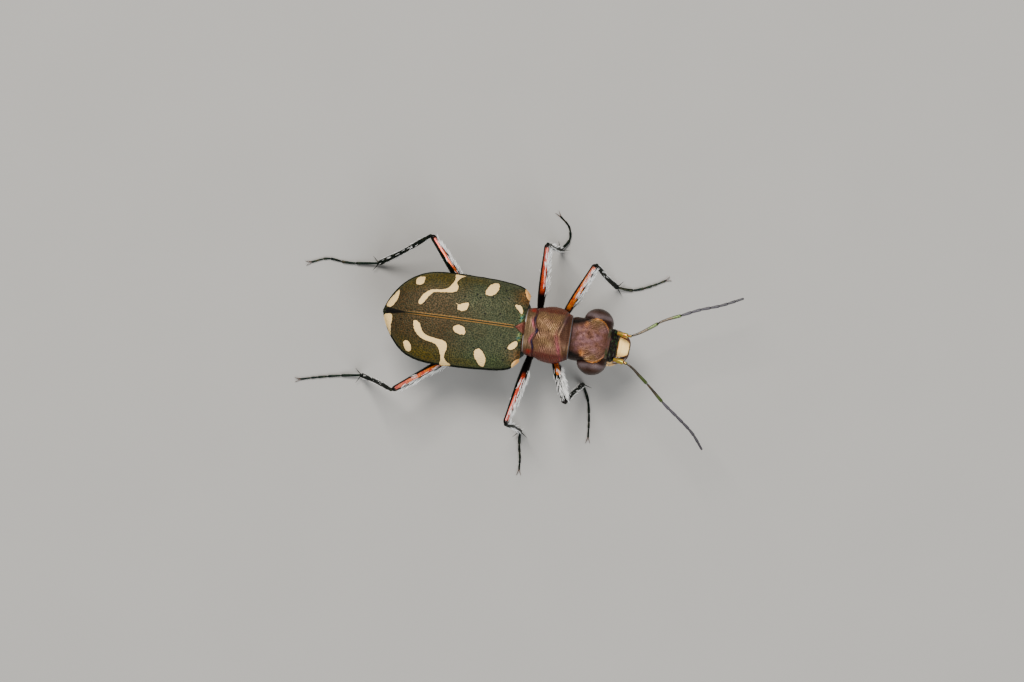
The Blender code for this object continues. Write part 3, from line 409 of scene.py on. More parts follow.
def waves(x, y, pitch, salt=1):
    """Soft noise from -1 to 1: smooth blend of a number at each corner of a square mesh of side pitch."""
    column = np.floor(x / pitch)
    row = np.floor(y / pitch)
    u = smoothstep(0.0, 1.0, x / pitch - column)
    v = smoothstep(0.0, 1.0, y / pitch - row)
    corner = [[whole_hash(column + i, row + j, salt) for j in (0, 1)] for i in (0, 1)]
    low = corner[0][0] * (1 - v) + corner[0][1] * v
    high = corner[1][0] * (1 - v) + corner[1][1] * v
    return (low * (1 - u) + high * u) * 2.0 - 1.0


def round_outline(points, steps=4):
    """Closed smooth curve through points: on each span t of it,
    p1 + (p2 - p0) t / 2 + (p0 - 2.5 p1 + 2 p2 - p3 / 2) t^2 + (1.5 (p1 - p2) + (p3 - p0) / 2) t^3."""
    p1 = np.array(points, dtype=float)[:, None]
    p0, p2, p3 = np.roll(p1, 1, axis=0), np.roll(p1, -1, axis=0), np.roll(p1, -2, axis=0)
    t = np.linspace(0.0, 1.0, steps, endpoint=False)[None, :, None]
    curve = (p1 + (p2 - p0) * t / 2.0 + (p0 - 2.5 * p1 + 2.0 * p2 - p3 / 2.0) * t ** 2
             + (1.5 * (p1 - p2) + (p3 - p0) / 2.0) * t ** 3)
    return curve.reshape(-1, 2)


def spot_distance(x, y, points):
    """Distance to a spot's outline, negative inside: a point is inside where a line from it towards
    larger x crosses the outline an odd number of times."""
    outline = round_outline(points)
    nearest = np.full(np.shape(x), 1e9)
    inside = np.zeros(np.shape(x), dtype=bool)
    for (ax, ay), (bx, by) in zip(outline, np.roll(outline, -1, axis=0)):
        t = ((x - ax) * (bx - ax) + (y - ay) * (by - ay)) / ((bx - ax) ** 2 + (by - ay) ** 2)
        t = np.clip(t, 0.0, 1.0)
        nearest = np.minimum(nearest, np.hypot(x - ax - t * (bx - ax), y - ay - t * (by - ay)))
        crossing = ((ay > y) != (by > y)) & (x < ax + (y - ay) / (by - ay if by != ay else 1.0) * (bx - ax))
        inside ^= crossing
    return np.where(inside, -nearest, nearest)


def oval(angle, half_width, up, down, power):
    """Reach of a body section at an angle: (|cos/w|^p + |sin/h|^p)^(-1/p), h being up or down."""
    height = np.where(np.sin(angle) >= 0.0, up, down)
    total = np.abs(np.cos(angle) / half_width) ** power + np.abs(np.sin(angle) / height) ** power
    return total ** (-1.0 / power)


def grid_normals(grid, wrap):
    """Unit normals of a grid of points from the cross product of its two directions."""
    along = np.gradient(grid, axis=0)
    if wrap:
        around = np.roll(grid, -1, axis=1) - np.roll(grid, 1, axis=1)
    else:
        around = np.gradient(grid, axis=1)
    return unit(np.cross(around, along))


def outer_normals(grid):
    """Unit normals of a closed tube's grid, turned away from its middle line."""
    normals = grid_normals(grid, True)
    from_middle = grid - grid.mean(axis=1, keepdims=True)
    return normals * np.sign(np.sum(normals * from_middle, axis=-1, keepdims=True))


def outward(verts, faces):
    """The faces, turned round if they enclose a negative volume."""
    centre = verts.mean(axis=0)
    volume = 0.0
    for group in faces:
        first = verts[group[:, 0]] - centre
        for c in range(1, group.shape[1] - 1):
            second = verts[group[:, c]] - centre
            third = verts[group[:, c + 1]] - centre
            volume += np.einsum("ij,ij->", first, np.cross(second, third))
    return faces if volume > 0.0 else [group[:, ::-1] for group in faces]


def closed_form(grid, values=None, ends="pole"):
    """Closed surface from a grid whose columns run round it: quads between its rows, and each end
    closed by a fan to its middle or by one flat face. values are numbers for each point by name."""
    rows, cols = grid.shape[:2]
    i, j = np.meshgrid(np.arange(rows - 1), np.arange(cols), indexing="ij")
    k = (j + 1) % cols
    corners = (i * cols + j, i * cols + k, (i + 1) * cols + k, (i + 1) * cols + j)
    quads = np.stack(corners, axis=-1).reshape(-1, 4)
    verts = grid.reshape(-1, 3)
    column = np.arange(cols)
    last = (rows - 1) * cols
    values = {name: np.broadcast_to(value, (rows, cols)) for name, value in (values or {}).items()}
    if ends == "pole":
        verts = np.concatenate([verts, grid[:1].mean(axis=1), grid[-1:].mean(axis=1)])
        near = np.stack([np.full(cols, rows * cols), (column + 1) % cols, column], axis=-1)
        far = np.stack([np.full(cols, rows * cols + 1), last + column, last + (column + 1) % cols], axis=-1)
        faces = [quads, np.concatenate([near, far])]
        values = {name: np.concatenate([value.ravel(), [value[0].mean(), value[-1].mean()]])
                  for name, value in values.items()}
    else:
        faces = [quads, np.stack([column[::-1], last + column])]
        values = {name: value.ravel() for name, value in values.items()}
    return verts, outward(verts, faces), values


def joined(forms):
    """Several closed forms as one, with the values that all of them have."""
    shared = set.intersection(*(set(form[2]) for form in forms))
    offset = 0
    groups = {}
    for verts, faces, _ in forms:
        for group in faces:
            groups.setdefault(group.shape[1], []).append(group + offset)
        offset += len(verts)
    verts = np.concatenate([form[0] for form in forms])
    values = {name: np.concatenate([form[2][name] for form in forms]) for name in sorted(shared)}
    return verts, [np.concatenate(groups[size]) for size in sorted(groups)], values


def add_piece(name, form, material, nodes=(), sharp=60.0, patches=None):
    """Mesh object of a closed form given in the beetle's millimetres, with its values as attributes.
    It rides on the one body, takes the material given and stands for the nodes."""
    verts, faces, values = form
    corners = np.concatenate([group.ravel() for group in faces])
    sizes = np.concatenate([np.full(len(group), group.shape[1]) for group in faces])
    mesh = bpy.data.meshes.new(name)
    mesh.vertices.add(len(verts))
    mesh.vertices.foreach_set("co", place(verts).astype(np.float32).ravel())
    mesh.loops.add(len(corners))
    mesh.loops.foreach_set("vertex_index", corners.astype(np.int32))
    mesh.polygons.add(len(sizes))
    mesh.polygons.foreach_set("loop_start", np.concatenate([[0], np.cumsum(sizes)[:-1]]).astype(np.int32))
    for key, value in values.items():
        mesh.attributes.new(key, "FLOAT", "POINT").data.foreach_set("value", value.astype(np.float32))
    if patches is not None:
        layer = mesh.uv_layers.new(name="OFBake")
        layer.data.foreach_set("uv", patches[corners].astype(np.float32).ravel())
    mesh.update(calc_edges=True)
    mesh.validate()
    mesh.shade_smooth()
    if sharp < 180.0:
        mesh.set_sharp_from_angle(angle=math.radians(sharp))
    mesh.materials.append(material)
    piece = bpy.data.objects.new(name, mesh)
    bpy.context.scene.collection.objects.link(piece)
    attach(piece, "root")
    if nodes:
        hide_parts(*nodes)
    return piece


def sweep(path, side_radius, up_radius, reference, sides=28):
    """Tube along a path: path + side * a * cos(turn) + up * b * sin(turn), where up is the reference
    made square to the path and side is square to both. Returns the grid and the turn of each column."""
    tangent = unit(np.gradient(path, axis=0))
    up = np.broadcast_to(np.asarray(reference, dtype=float), tangent.shape)
    up = unit(up - tangent * np.sum(up * tangent, axis=1, keepdims=True))
    side = np.cross(tangent, up)
    turn = np.linspace(0.0, 2.0 * np.pi, sides, endpoint=False)
    a = np.broadcast_to(side_radius, len(path))[:, None, None]
    b = np.broadcast_to(up_radius, len(path))[:, None, None]
    sideways = side[:, None] * a * np.cos(turn)[None, :, None]
    upwards = up[:, None] * b * np.sin(turn)[None, :, None]
    return path[:, None] + sideways + upwards, turn


def end_spaced(count):
    """Shares from 0 to 1, closer together towards both ends: (1 - cos(pi t)) / 2."""
    return 0.5 - 0.5 * np.cos(np.pi * np.linspace(0.0, 1.0, count))


def round_ends(share, near, far):
    """1 along the middle, falling to 0 as a quarter circle over the near and far shares of the length."""
    start = np.sqrt(np.clip(1.0 - (1.0 - np.clip(share / near, 0.0, 1.0)) ** 2, 0.0, 1.0))
    end = np.sqrt(np.clip(1.0 - (1.0 - np.clip((1.0 - share) / far, 0.0, 1.0)) ** 2, 0.0, 1.0))
    return np.maximum(start * end, 0.02)


def hair_form(roots, directions, lengths, width, bend, patch_u, patch_v):
    """Three-sided tapered hairs: root + direction * length * s + bend * length * s^2, width falling
    to a point. Returns the form and each point's place on the unwrap, a small patch for each hair."""
    count = len(roots)
    directions = unit(directions)
    helper = np.where(np.abs(directions[:, 2:3]) < 0.8, (0.0, 0.0, 1.0), (1.0, 0.0, 0.0))
    side = unit(np.cross(directions, helper))
    other = np.cross(directions, side)
    share = np.array((0.0, 0.35, 0.7))
    thickness = np.broadcast_to(width, count)[:, None] * 0.5 * np.array((1.0, 0.82, 0.5))
    turn = np.arange(3) * 2.0 * np.pi / 3.0
    reach = lengths[:, None]
    middle = (roots[:, None] + directions[:, None] * (reach * share)[..., None]
              + bend[:, None] * (reach * share ** 2)[..., None])
    ring = side[:, None] * np.cos(turn)[None, :, None] + other[:, None] * np.sin(turn)[None, :, None]
    rings = middle[:, :, None] + ring[:, None] * thickness[:, :, None, None]
    tips = roots + directions * reach + bend * reach
    verts = np.concatenate([rings.reshape(count, 9, 3), tips[:, None]], axis=1)
    quads = []
    for level in (0, 3):
        for c in range(3):
            d = (c + 1) % 3
            quads.append((level + c, level + d, level + 3 + d, level + 3 + c))
    triangles = [(2, 1, 0)] + [(6 + c, 6 + (c + 1) % 3, 9) for c in range(3)]
    step = np.arange(count)[:, None, None] * 10
    faces = [(np.array(quads)[None] + step).reshape(-1, 4), (np.array(triangles)[None] + step).reshape(-1, 3)]
    level = np.repeat(np.array((0.0, 0.35, 0.7)), 3)
    spread = np.concatenate([np.stack([np.tile(np.cos(turn), 3) * 0.5, level - 0.5], axis=1), [[0.0, 0.5]]])
    patches = np.stack([patch_u, patch_v], axis=1)[:, None] + spread[None] * 0.003
    verts = verts.reshape(-1, 3)
    along = np.tile(np.concatenate([level, [1.0]]), count)
    return (verts, outward(verts, faces), {"along": along}), np.clip(patches.reshape(-1, 2), 0.0, 1.0)


# Finishes


class Nodes:
    """A material's nodes, added by short calls that return sockets."""

    def __init__(self, name, metallic=0.0, roughness=0.4, specular=0.5, coat=0.0, coat_roughness=0.1,
                 tint=(1.0, 1.0, 1.0)):
        self.material = bpy.data.materials.new(name)
        self.material.use_nodes = True
        self.tree = self.material.node_tree
        self.shader = self.tree.nodes["Principled BSDF"]
        self.shader.inputs["Metallic"].default_value = metallic
        self.shader.inputs["Roughness"].default_value = roughness
        self.shader.inputs["Specular IOR Level"].default_value = specular
        self.shader.inputs["Specular Tint"].default_value = (*tint, 1.0)
        self.shader.inputs["Coat Weight"].default_value = coat
        self.shader.inputs["Coat Roughness"].default_value = coat_roughness
        coordinates = self.tree.nodes.new("ShaderNodeTexCoord")
        self.mm = self.vector("SCALE", coordinates.outputs["Object"], scale=1.0 / MM)

    def put(self, socket, value):
        """Link a socket, or set a number or colour."""
        if isinstance(value, bpy.types.NodeSocket):
            self.tree.links.new(value, socket)
        elif hasattr(socket.default_value, "__len__"):
            count = len(socket.default_value)
            socket.default_value = tuple(value)[:count] if hasattr(value, "__len__") else (value,) * count
        else:
            socket.default_value = value

    def vector(self, operation, a, b=None, scale=None):
        node = self.tree.nodes.new("ShaderNodeVectorMath")
        node.operation = operation
        self.put(node.inputs[0], a)
        if b is not None:
            self.put(node.inputs[1], b)
        if scale is not None:
            self.put(node.inputs["Scale"], scale)
        return node.outputs[0]

    def math(self, operation, a, b=0.0, clamp=False):
        node = self.tree.nodes.new("ShaderNodeMath")
        node.operation = operation
        node.use_clamp = clamp
        self.put(node.inputs[0], a)
        self.put(node.inputs[1], b)
        return node.outputs[0]

    def value(self, name):
        """One of the piece's own values."""
        node = self.tree.nodes.new("ShaderNodeAttribute")
        node.attribute_name = name
        return node.outputs["Fac"]

    def times(self, a, b):
        return self.math("MULTIPLY", a, b)

    def swing(self, noise, reach):
        """Noise moved to lie round 0 and scaled."""
        return self.times(self.math("SUBTRACT", noise, 0.5), reach)

    def noise(self, size, detail=2.0):
        """Soft noise with features about size mm across."""
        node = self.tree.nodes.new("ShaderNodeTexNoise")
        node.inputs["Scale"].default_value = 1.0 / size
        node.inputs["Detail"].default_value = detail
        self.put(node.inputs["Vector"], self.mm)
        return node.outputs["Fac"]

    def cells(self, size):
        """Distance to the nearest of many points about size mm apart."""
        node = self.tree.nodes.new("ShaderNodeTexVoronoi")
        node.inputs["Scale"].default_value = 1.0 / size
        self.put(node.inputs["Vector"], self.mm)
        return node.outputs["Distance"]

    def step(self, value, low, high, to_low=0.0, to_high=1.0):
        """Smooth step of a value from low to high."""
        node = self.tree.nodes.new("ShaderNodeMapRange")
        node.interpolation_type = "SMOOTHSTEP"
        self.put(node.inputs["Value"], value)
        self.put(node.inputs["From Min"], low)
        self.put(node.inputs["From Max"], high)
        self.put(node.inputs["To Min"], to_low)
        self.put(node.inputs["To Max"], to_high)
        return node.outputs["Result"]

    def mix(self, share, a, b):
        """Colour a, and b where share is 1."""
        node = self.tree.nodes.new("ShaderNodeMix")
        node.data_type = "RGBA"
        self.put(node.inputs["Factor"], share)
        self.put(node.inputs["A"], colour(a))
        self.put(node.inputs["B"], colour(b))
        return node.outputs["Result"]

    def shade(self, base, amount):
        """A colour made lighter or darker by amount, 1 leaving it as it is."""
        return self.vector("SCALE", base, scale=amount)

    def bump(self, height, depth):
        """Normal of a height field, depth in mm."""
        node = self.tree.nodes.new("ShaderNodeBump")
        node.inputs["Distance"].default_value = depth * MM
        self.put(node.inputs["Height"], height)
        return node.outputs["Normal"]

    def finish(self, base, normal=None, roughness=None, metallic=None):
        """Wire the shader and return the material."""
        self.put(self.shader.inputs["Base Color"], base)
        if normal is not None:
            self.put(self.shader.inputs["Normal"], normal)
        if roughness is not None:
            self.put(self.shader.inputs["Roughness"], roughness)
        if metallic is not None:
            self.put(self.shader.inputs["Metallic"], metallic)
        return self.material


def colour(value):
    """A colour with its alpha, or a socket as it is."""
    if isinstance(value, bpy.types.NodeSocket) or len(value) == 4:
        return value
    return (*value, 1.0)


def wing_finish(colours):
    """Olive and coppery cuticle: green punctures, cream marks with a dark outline, a gold line on each
    side of the seam, black at its rear end and a dark outer edge."""
    n = Nodes("wing_cuticle", roughness=0.46, specular=0.12, tint=(1.0, 0.92, 0.72))
    patchy = n.noise(0.9, 3.0)
    grain = n.noise(0.050, 2.0)
    brown = n.math("ADD", n.value("brown"), n.swing(patchy, 0.8), clamp=True)
    base = n.mix(brown, colours.wing_green, colours.wing_brown)
    olive = n.times(n.value("olive"), n.step(patchy, 0.2, 0.75, 0.6, 1.0))
    base = n.mix(olive, base, colours.wing_olive)
    base = n.mix(n.value("shoulder"), base, (0.105, 0.040, 0.010))
    base = n.mix(n.times(n.value("bright"), 0.25), base, (0.040, 0.072, 0.014))
    base = n.shade(base, n.step(grain, 0.28, 0.72, 0.50, 1.66))
    base = n.shade(base, n.step(n.value("tone"), 0.0, 1.0, 0.84, 1.16))
    glint = n.mix(n.step(n.noise(0.16, 2.0), 0.40, 0.62), (0.30, 0.30, 0.06), (0.03, 0.16, 0.13))
    base = n.mix(n.value("glint"), base, glint)
    base = n.mix(n.times(n.value("pit"), 0.84), base, (0.004, 0.014, 0.008))
    base = n.mix(n.value("dot"), base, (0.004, 0.005, 0.006))
    wavy = n.swing(n.noise(0.11, 4.0), 0.105)
    mark = n.math("ADD", n.value("mark"), n.math("ADD", wavy, 0.016))
    ring = n.times(n.step(mark, 0.080, 0.018), 0.85)
    base = n.mix(ring, base, (0.012, 0.008, 0.004))
    seam = n.value("seam")
    gold = n.times(n.step(seam, 0.026, 0.044), n.step(seam, 0.088, 0.062))
    gold = n.times(gold, n.value("gold"))
    base = n.mix(gold, base, n.mix(n.noise(0.30, 3.0), (0.14, 0.090, 0.018), (0.27, 0.105, 0.022)))
    base = n.mix(n.times(n.step(seam, 0.038, 0.020), 0.9), base, (0.008, 0.016, 0.010))
    base = n.mix(n.value("black"), base, (0.003, 0.003, 0.003))
    rim = n.value("rim")
    base = n.mix(n.times(n.step(rim, 0.16, 0.03), 0.5), base, (0.030, 0.040, 0.004))
    base = n.mix(n.step(rim, 0.075, 0.035), base, (0.002, 0.005, 0.003))
    cream = n.mix(n.noise(0.35, 3.0), n.shade(colours.cream, 0.86), n.shade(colours.cream, 1.10))
    cream = n.mix(n.value("warm"), cream, (0.62, 0.30, 0.085))
    inside = n.step(mark, 0.016, -0.010)
    base = n.mix(inside, base, cream)
    rough = n.math("ADD", n.times(inside, 0.06), 0.44)
    rough = n.math("MAXIMUM", rough, n.times(n.value("black"), 0.70))
    rough = n.math("MAXIMUM", rough, n.step(rim, 0.085, 0.040, 0.0, 0.92))
    metal = n.times(n.math("SUBTRACT", 1.0, inside), 0.14)
    relief = n.bump(n.cells(0.030), 0.0022)
    return n.finish(base, relief, rough, metal)


def copper_finish(colours):
    """Copper cuticle of the fore thorax: gold bloom, pink and violet in the furrows, dark sides, and a painted
    pale highlight on the rims at its two ends."""
    n = Nodes("copper_cuticle", metallic=0.45, roughness=0.40, specular=0.28, tint=(1.0, 0.80, 0.68))
    bloom = n.noise(0.45, 3.0)
    grain = n.noise(0.05, 2.0)
    base = n.mix(n.step(bloom, 0.35, 0.70), colours.copper, (0.150, 0.085, 0.036))
    base = n.mix(n.times(n.value("band"), 0.9), base, (0.108, 0.065, 0.031))
    base = n.mix(n.value("pink"), base, (0.30, 0.035, 0.085))
    base = n.mix(n.value("violet"), base, (0.012, 0.008, 0.035))
    base = n.mix(n.value("red"), base, (0.42, 0.025, 0.010))
    base = n.mix(n.value("dark"), base, (0.062, 0.0012, 0.0032))
    # Painted highlight: the rim value paints a pale grey gleam on the hind and fore rims, bluish grey on the
    # fore rim.
    base = n.mix(n.value("rim"), base, n.mix(n.value("blue"), (0.22, 0.20, 0.195), (0.15, 0.175, 0.21)))
    base = n.shade(base, n.step(grain, 0.25, 0.75, 0.72, 1.34))
    # Painted highlight and shade: lighter on the wrinkles' crests and darker in their furrows; lower ridge
    # values also darken the collar, the base band and the small shield in their own colour.
    base = n.shade(base, n.step(n.value("ridge"), 0.0, 1.0, 0.50, 1.40))
    relief = n.bump(n.cells(0.035), 0.0025)
    return n.finish(base, relief, n.step(grain, 0.2, 0.8, 0.32, 0.50))


def head_finish(colours):
    """Maroon cuticle of the head: pink sheen down the middle, olive by the eyes, gold on the rims of the eyes,
    black and green before the feelers, the black partly painted shade in that recess, and painted shade behind
    the eyes."""
    n = Nodes("head_cuticle", metallic=0.45, roughness=0.38, specular=0.28, tint=(1.0, 0.82, 0.76))
    bloom = n.noise(0.40, 3.0)
    grain = n.noise(0.05, 2.0)
    base = n.mix(n.step(bloom, 0.38, 0.66), colours.maroon, (0.122, 0.056, 0.056))
    base = n.mix(n.value("olive"), base, (0.098, 0.054, 0.016))
    base = n.mix(n.value("gold"), base, (0.50, 0.17, 0.018))
    # dark: black before the feelers, partly its own colour and partly painted shade in that recess, painted
    # shade in the corners behind the eyes, and darker towards the neck and the bottom.
    base = n.mix(n.value("dark"), base, (0.0045, 0.0042, 0.0035))
    base = n.mix(n.value("green"), base, (0.012, 0.052, 0.012))
    base = n.shade(base, n.step(grain, 0.25, 0.75, 0.74, 1.30))
    # Painted highlight and shade: lighter on the wrinkles' crests and darker in their furrows.
    base = n.shade(base, n.step(n.value("ridge"), 0.0, 1.0, 0.58, 1.32))
    relief = n.bump(n.cells(0.030), 0.0022)
    return n.finish(base, relief, n.step(grain, 0.2, 0.8, 0.32, 0.50))


def underside_finish():
    """Dark green and copper cuticle of the underside."""
    n = Nodes("underside_cuticle", metallic=0.6, roughness=0.30, specular=0.3, coat=0.05, coat_roughness=0.15,
              tint=(0.60, 0.66, 0.60))
    bloom = n.noise(0.8, 3.0)
    grain = n.noise(0.06, 2.0)
    base = n.mix(n.step(bloom, 0.38, 0.66), (0.018, 0.052, 0.045), (0.10, 0.040, 0.022))
    base = n.shade(base, n.step(grain, 0.25, 0.75, 0.7, 1.3))
    # groove darkens the plates' seams, and on the thorax block also paints shade under the fore thorax.
    base = n.mix(n.value("groove"), base, (0.006, 0.008, 0.008))
    relief = n.bump(n.cells(0.055), 0.0035)
    return n.finish(base, relief, n.step(grain, 0.2, 0.8, 0.24, 0.42))


def eye_finish():
    """Dark brown eye with a painted violet grey highlight on its upper side, painted shade at its inner and
    outer edge, and fine facets."""
    n = Nodes("eye_facets", roughness=0.30, specular=0.30, coat=0.03, coat_roughness=0.12,
              tint=(0.58, 0.36, 0.30))
    bloom = n.noise(0.5, 2.0)
    base = n.mix(n.step(bloom, 0.35, 0.7), (0.022, 0.0085, 0.0040), (0.038, 0.017, 0.010))
    # Painted highlight: a violet grey band on the eye's upper side.
    grey = n.times(n.value("bloom"), n.step(bloom, 0.3, 0.6, 0.6, 1.0))
    base = n.mix(grey, base, (0.098, 0.072, 0.074))
    # Painted shade: darker at the eye's inner edge by the head and at its outer side.
    base = n.mix(n.value("edge"), base, (0.013, 0.0045, 0.0030))
    facets = n.cells(0.026)
    base = n.shade(base, n.step(facets, 0.0, 0.7, 1.15, 0.75))
    relief = n.bump(n.math("SUBTRACT", 1.0, facets), 0.006)
    return n.finish(base, relief, n.step(bloom, 0.3, 0.7, 0.22, 0.34))


def lip_finish():
    """Cream upper lip, orange at its base, with a dark front edge."""
    n = Nodes("lip_cuticle", roughness=0.50, specular=0.22, coat=0.04, coat_roughness=0.30)
    mottle = n.noise(0.2, 3.0)
    base = n.mix(mottle, (0.97, 0.56, 0.160), (1.0, 0.76, 0.28))
    base = n.mix(n.value("orange"), base, (0.70, 0.28, 0.06))
    base = n.mix(n.value("dark"), base, (0.030, 0.014, 0.008))
    relief = n.bump(n.noise(0.04, 2.0), 0.003)
    return n.finish(base, relief, n.step(mottle, 0.2, 0.8, 0.42, 0.58))


def jaw_finish():
    """Dark brown jaw with a pale base."""
    n = Nodes("jaw_cuticle", roughness=0.24, coat=0.4, coat_roughness=0.1)
    streak = n.noise(0.15, 3.0)
    base = n.mix(streak, (0.030, 0.012, 0.006), (0.075, 0.030, 0.012))
    base = n.mix(n.value("pale"), base, n.mix(streak, (0.50, 0.27, 0.075), (0.66, 0.42, 0.18)))
    return n.finish(base, n.bump(streak, 0.004), n.step(streak, 0.2, 0.8, 0.18, 0.34))


def feeler_finish():
    """Yellow green and orange metal on the two base joints, two brown joints with green outer ends,
    then dull grey violet, darker towards the tip."""
    n = Nodes("feeler_cuticle", roughness=0.34, coat=0.15, coat_roughness=0.2)
    along = n.value("along")
    fleck = n.noise(0.12, 3.0)
    base = n.mix(n.step(fleck, 0.35, 0.65), (0.30, 0.30, 0.035), (0.50, 0.16, 0.03))
    middle = n.mix(n.step(fleck, 0.42, 0.62), (0.030, 0.024, 0.016), (0.075, 0.050, 0.026))
    middle = n.mix(n.value("bloom"), middle, (0.055, 0.080, 0.017))
    base = n.mix(n.step(along, 0.085, 0.125), base, middle)
    outer = n.mix(fleck, (0.019, 0.016, 0.023), (0.048, 0.041, 0.054))
    outer = n.shade(outer, n.step(along, 0.55, 0.95, 1.0, 0.55))
    low = FEELER_METAL_END - 0.005
    high = FEELER_METAL_END + 0.005
    base = n.mix(n.step(along, low, high), base, outer)
    base = n.mix(n.value("joint"), base, (0.010, 0.008, 0.008))
    metal = n.step(along, low, high, 0.65, 0.1)
    rough = n.step(along, low, high, 0.28, 0.55)
    return n.finish(base, n.bump(n.noise(0.03, 2.0), 0.003), rough, metal)


def leg_finish(name, colours, striped):
    """Thighs: red, orange and pink metal on top and before, black green behind. Shanks, feet and
    coxae: black green with a copper bloom. Ends are darker."""
    tint = (0.62, 0.58, 0.56) if striped else (0.30, 0.33, 0.30)
    n = Nodes(name, metallic=0.6, roughness=0.27, specular=0.20, tint=tint)
    fleck = n.noise(0.20, 3.0)
    grain = n.noise(0.04, 2.0)
    dark = n.mix(n.step(fleck, 0.4, 0.65), (0.003, 0.006, 0.005), (0.007, 0.016, 0.009))
    if striped:
        orange = n.times(n.step(fleck, 0.34, 0.56), n.value("orange"))
        warm = n.mix(orange, colours.leg_red, (0.95, 0.25, 0.020))
        warm = n.mix(n.step(n.value("along"), 0.50, 0.92, 0.0, 0.60), warm, (0.62, 0.16, 0.14))
        ragged = n.math("ADD", n.value("stripe"), n.swing(n.noise(0.10, 3.0), 0.9))
        base = n.mix(n.step(ragged, 0.34, 0.66), dark, warm)
        base = n.mix(n.value("end"), base, (0.008, 0.006, 0.005))
    else:
        base = n.mix(n.times(n.step(fleck, 0.5, 0.72), 0.20), dark, (0.10, 0.035, 0.015))
    base = n.shade(base, n.step(grain, 0.2, 0.8, 0.75, 1.25))
    return n.finish(base, n.bump(n.cells(0.045), 0.0018), n.step(grain, 0.2, 0.8, 0.20, 0.36))


def bristle_finish(colours):
    """White bristle, a little darker at its root."""
    n = Nodes("white_bristle", roughness=0.42, specular=0.5)
    along = n.value("along")
    base = n.mix(along, n.shade(colours.bristle_white, 0.80), (0.98, 0.97, 0.95))
    return n.finish(base, None, n.step(along, 0.0, 1.0, 0.36, 0.48))


# Wing cases


def wing_half_width(x):
    """Half the closed wing cases' width: a blunt superellipse behind the widest place, a slow taper
    with a rounded shoulder before it."""
    rear = np.clip((x - WING_APEX_X) / (WING_WIDEST_X - WING_APEX_X), 0.0, 1.0)
    front = np.clip((x - WING_WIDEST_X) / -WING_WIDEST_X, 0.0, 1.02)
    behind = WING_HALF_WIDTH * (1.0 - (1.0 - rear) ** WING_REAR_POWER) ** (1.0 / WING_REAR_ROUND)
    before = WING_HALF_WIDTH - 0.22 * front ** 2 - 0.38 * front ** 13
    return np.where(x < WING_WIDEST_X, behind, before)


def wing_margin(x):
    """Height of the outer edge, a little lower towards the apex."""
    return WING_MARGIN_Z - 0.20 * (x / WING_APEX_X) ** 2


def wing_arch(x):
    """Height of the ridge over the outer edge, falling to the apex and a little to the base."""
    rear = np.clip((x - WING_APEX_X) / (WING_WIDEST_X - WING_APEX_X), 0.0, 1.0)
    front = np.clip((x - WING_WIDEST_X) / -WING_WIDEST_X, 0.0, 1.02)
    rise = WING_TOP_Z - WING_MARGIN_Z
    behind = rise * (1.0 - (1.0 - rear) ** WING_ARCH_POWER) ** WING_ARCH_ROUND
    return np.where(x < WING_WIDEST_X, behind, rise - 0.20 * front ** 3)


def wing_vault(rows, columns, seam_gap):
    """Outer surface of the left wing case and, for each point, x along it and its share from seam to
    edge. Section: y = gap + w sin^p, z = edge + arch cos^q, columns evenly far apart."""
    t = np.linspace(0.0, 1.0, rows)
    x = WING_APEX_X + 0.012 + (WING_BASE_X - WING_APEX_X - 0.012) * t ** 1.4
    fine = np.linspace(0.0, np.pi / 2.0, 2000)
    side_power, top_power = WING_SECTION
    rise = WING_TOP_Z - WING_MARGIN_Z
    outline = np.stack([WING_HALF_WIDTH * np.sin(fine) ** side_power, rise * np.cos(fine) ** top_power], axis=1)
    run = np.concatenate([[0.0], np.cumsum(np.linalg.norm(np.diff(outline, axis=0), axis=1))])
    angle = np.interp(np.linspace(0.0, run[-1], columns), run, fine)
    half = np.maximum(wing_half_width(x), 0.06)[:, None]
    arch = np.maximum(wing_arch(x), 0.05)[:, None]
    y = seam_gap + (half - seam_gap) * np.sin(angle) ** side_power
    z = wing_margin(x)[:, None] + arch * np.clip(np.cos(angle), 0.0, 1.0) ** top_power
    grid = np.stack([np.broadcast_to(x[:, None], y.shape), y, z], axis=-1)
    return grid, np.broadcast_to(np.linspace(0.0, 1.0, columns), y.shape)


def wing_relief(x, y, rim, sizes, salt):
    """Height over the vault: seam bead, edge bead, shoulder bump, hollow beside it, punctures, large
    dark pits and low waves. Also the punctures and pits as shares, and each puncture's own number."""
    distance, tone = scattered_pits(x, y, sizes.puncture_pitch, 0.80, salt)
    pit = smoothstep(0.043, 0.015, distance)
    far, chance = scattered_pits(x, y, 0.40, 0.9, salt + 50)
    in_row = np.maximum(hump(y, 0.55, 0.16), hump(y, 1.30, 0.14))
    dot = smoothstep(0.058, 0.030, far) * (chance > 0.97 - 0.72 * in_row * smoothstep(-4.0, -1.5, x))
    height = 0.016 * hump(y, 0.0, 0.055) - 0.010 * hump(y, 0.13, 0.035)
    height += 0.022 * hump(rim, 0.0, 0.045) - 0.014 * hump(rim, 0.11, 0.035)
    height += 0.055 * hump(x, -0.50, 0.42) * hump(y, 1.35, 0.33)
    height -= 0.055 * hump(x, -0.28, 0.35) * hump(y, 0.80, 0.30)
    height += 0.008 * waves(x, y, 0.55, salt + 3) + 0.004 * waves(x, y, 0.21, salt + 4)
    height -= sizes.puncture_depth * pit * smoothstep(0.02, 0.09, rim) + 0.012 * dot
    return height, pit, dot, tone


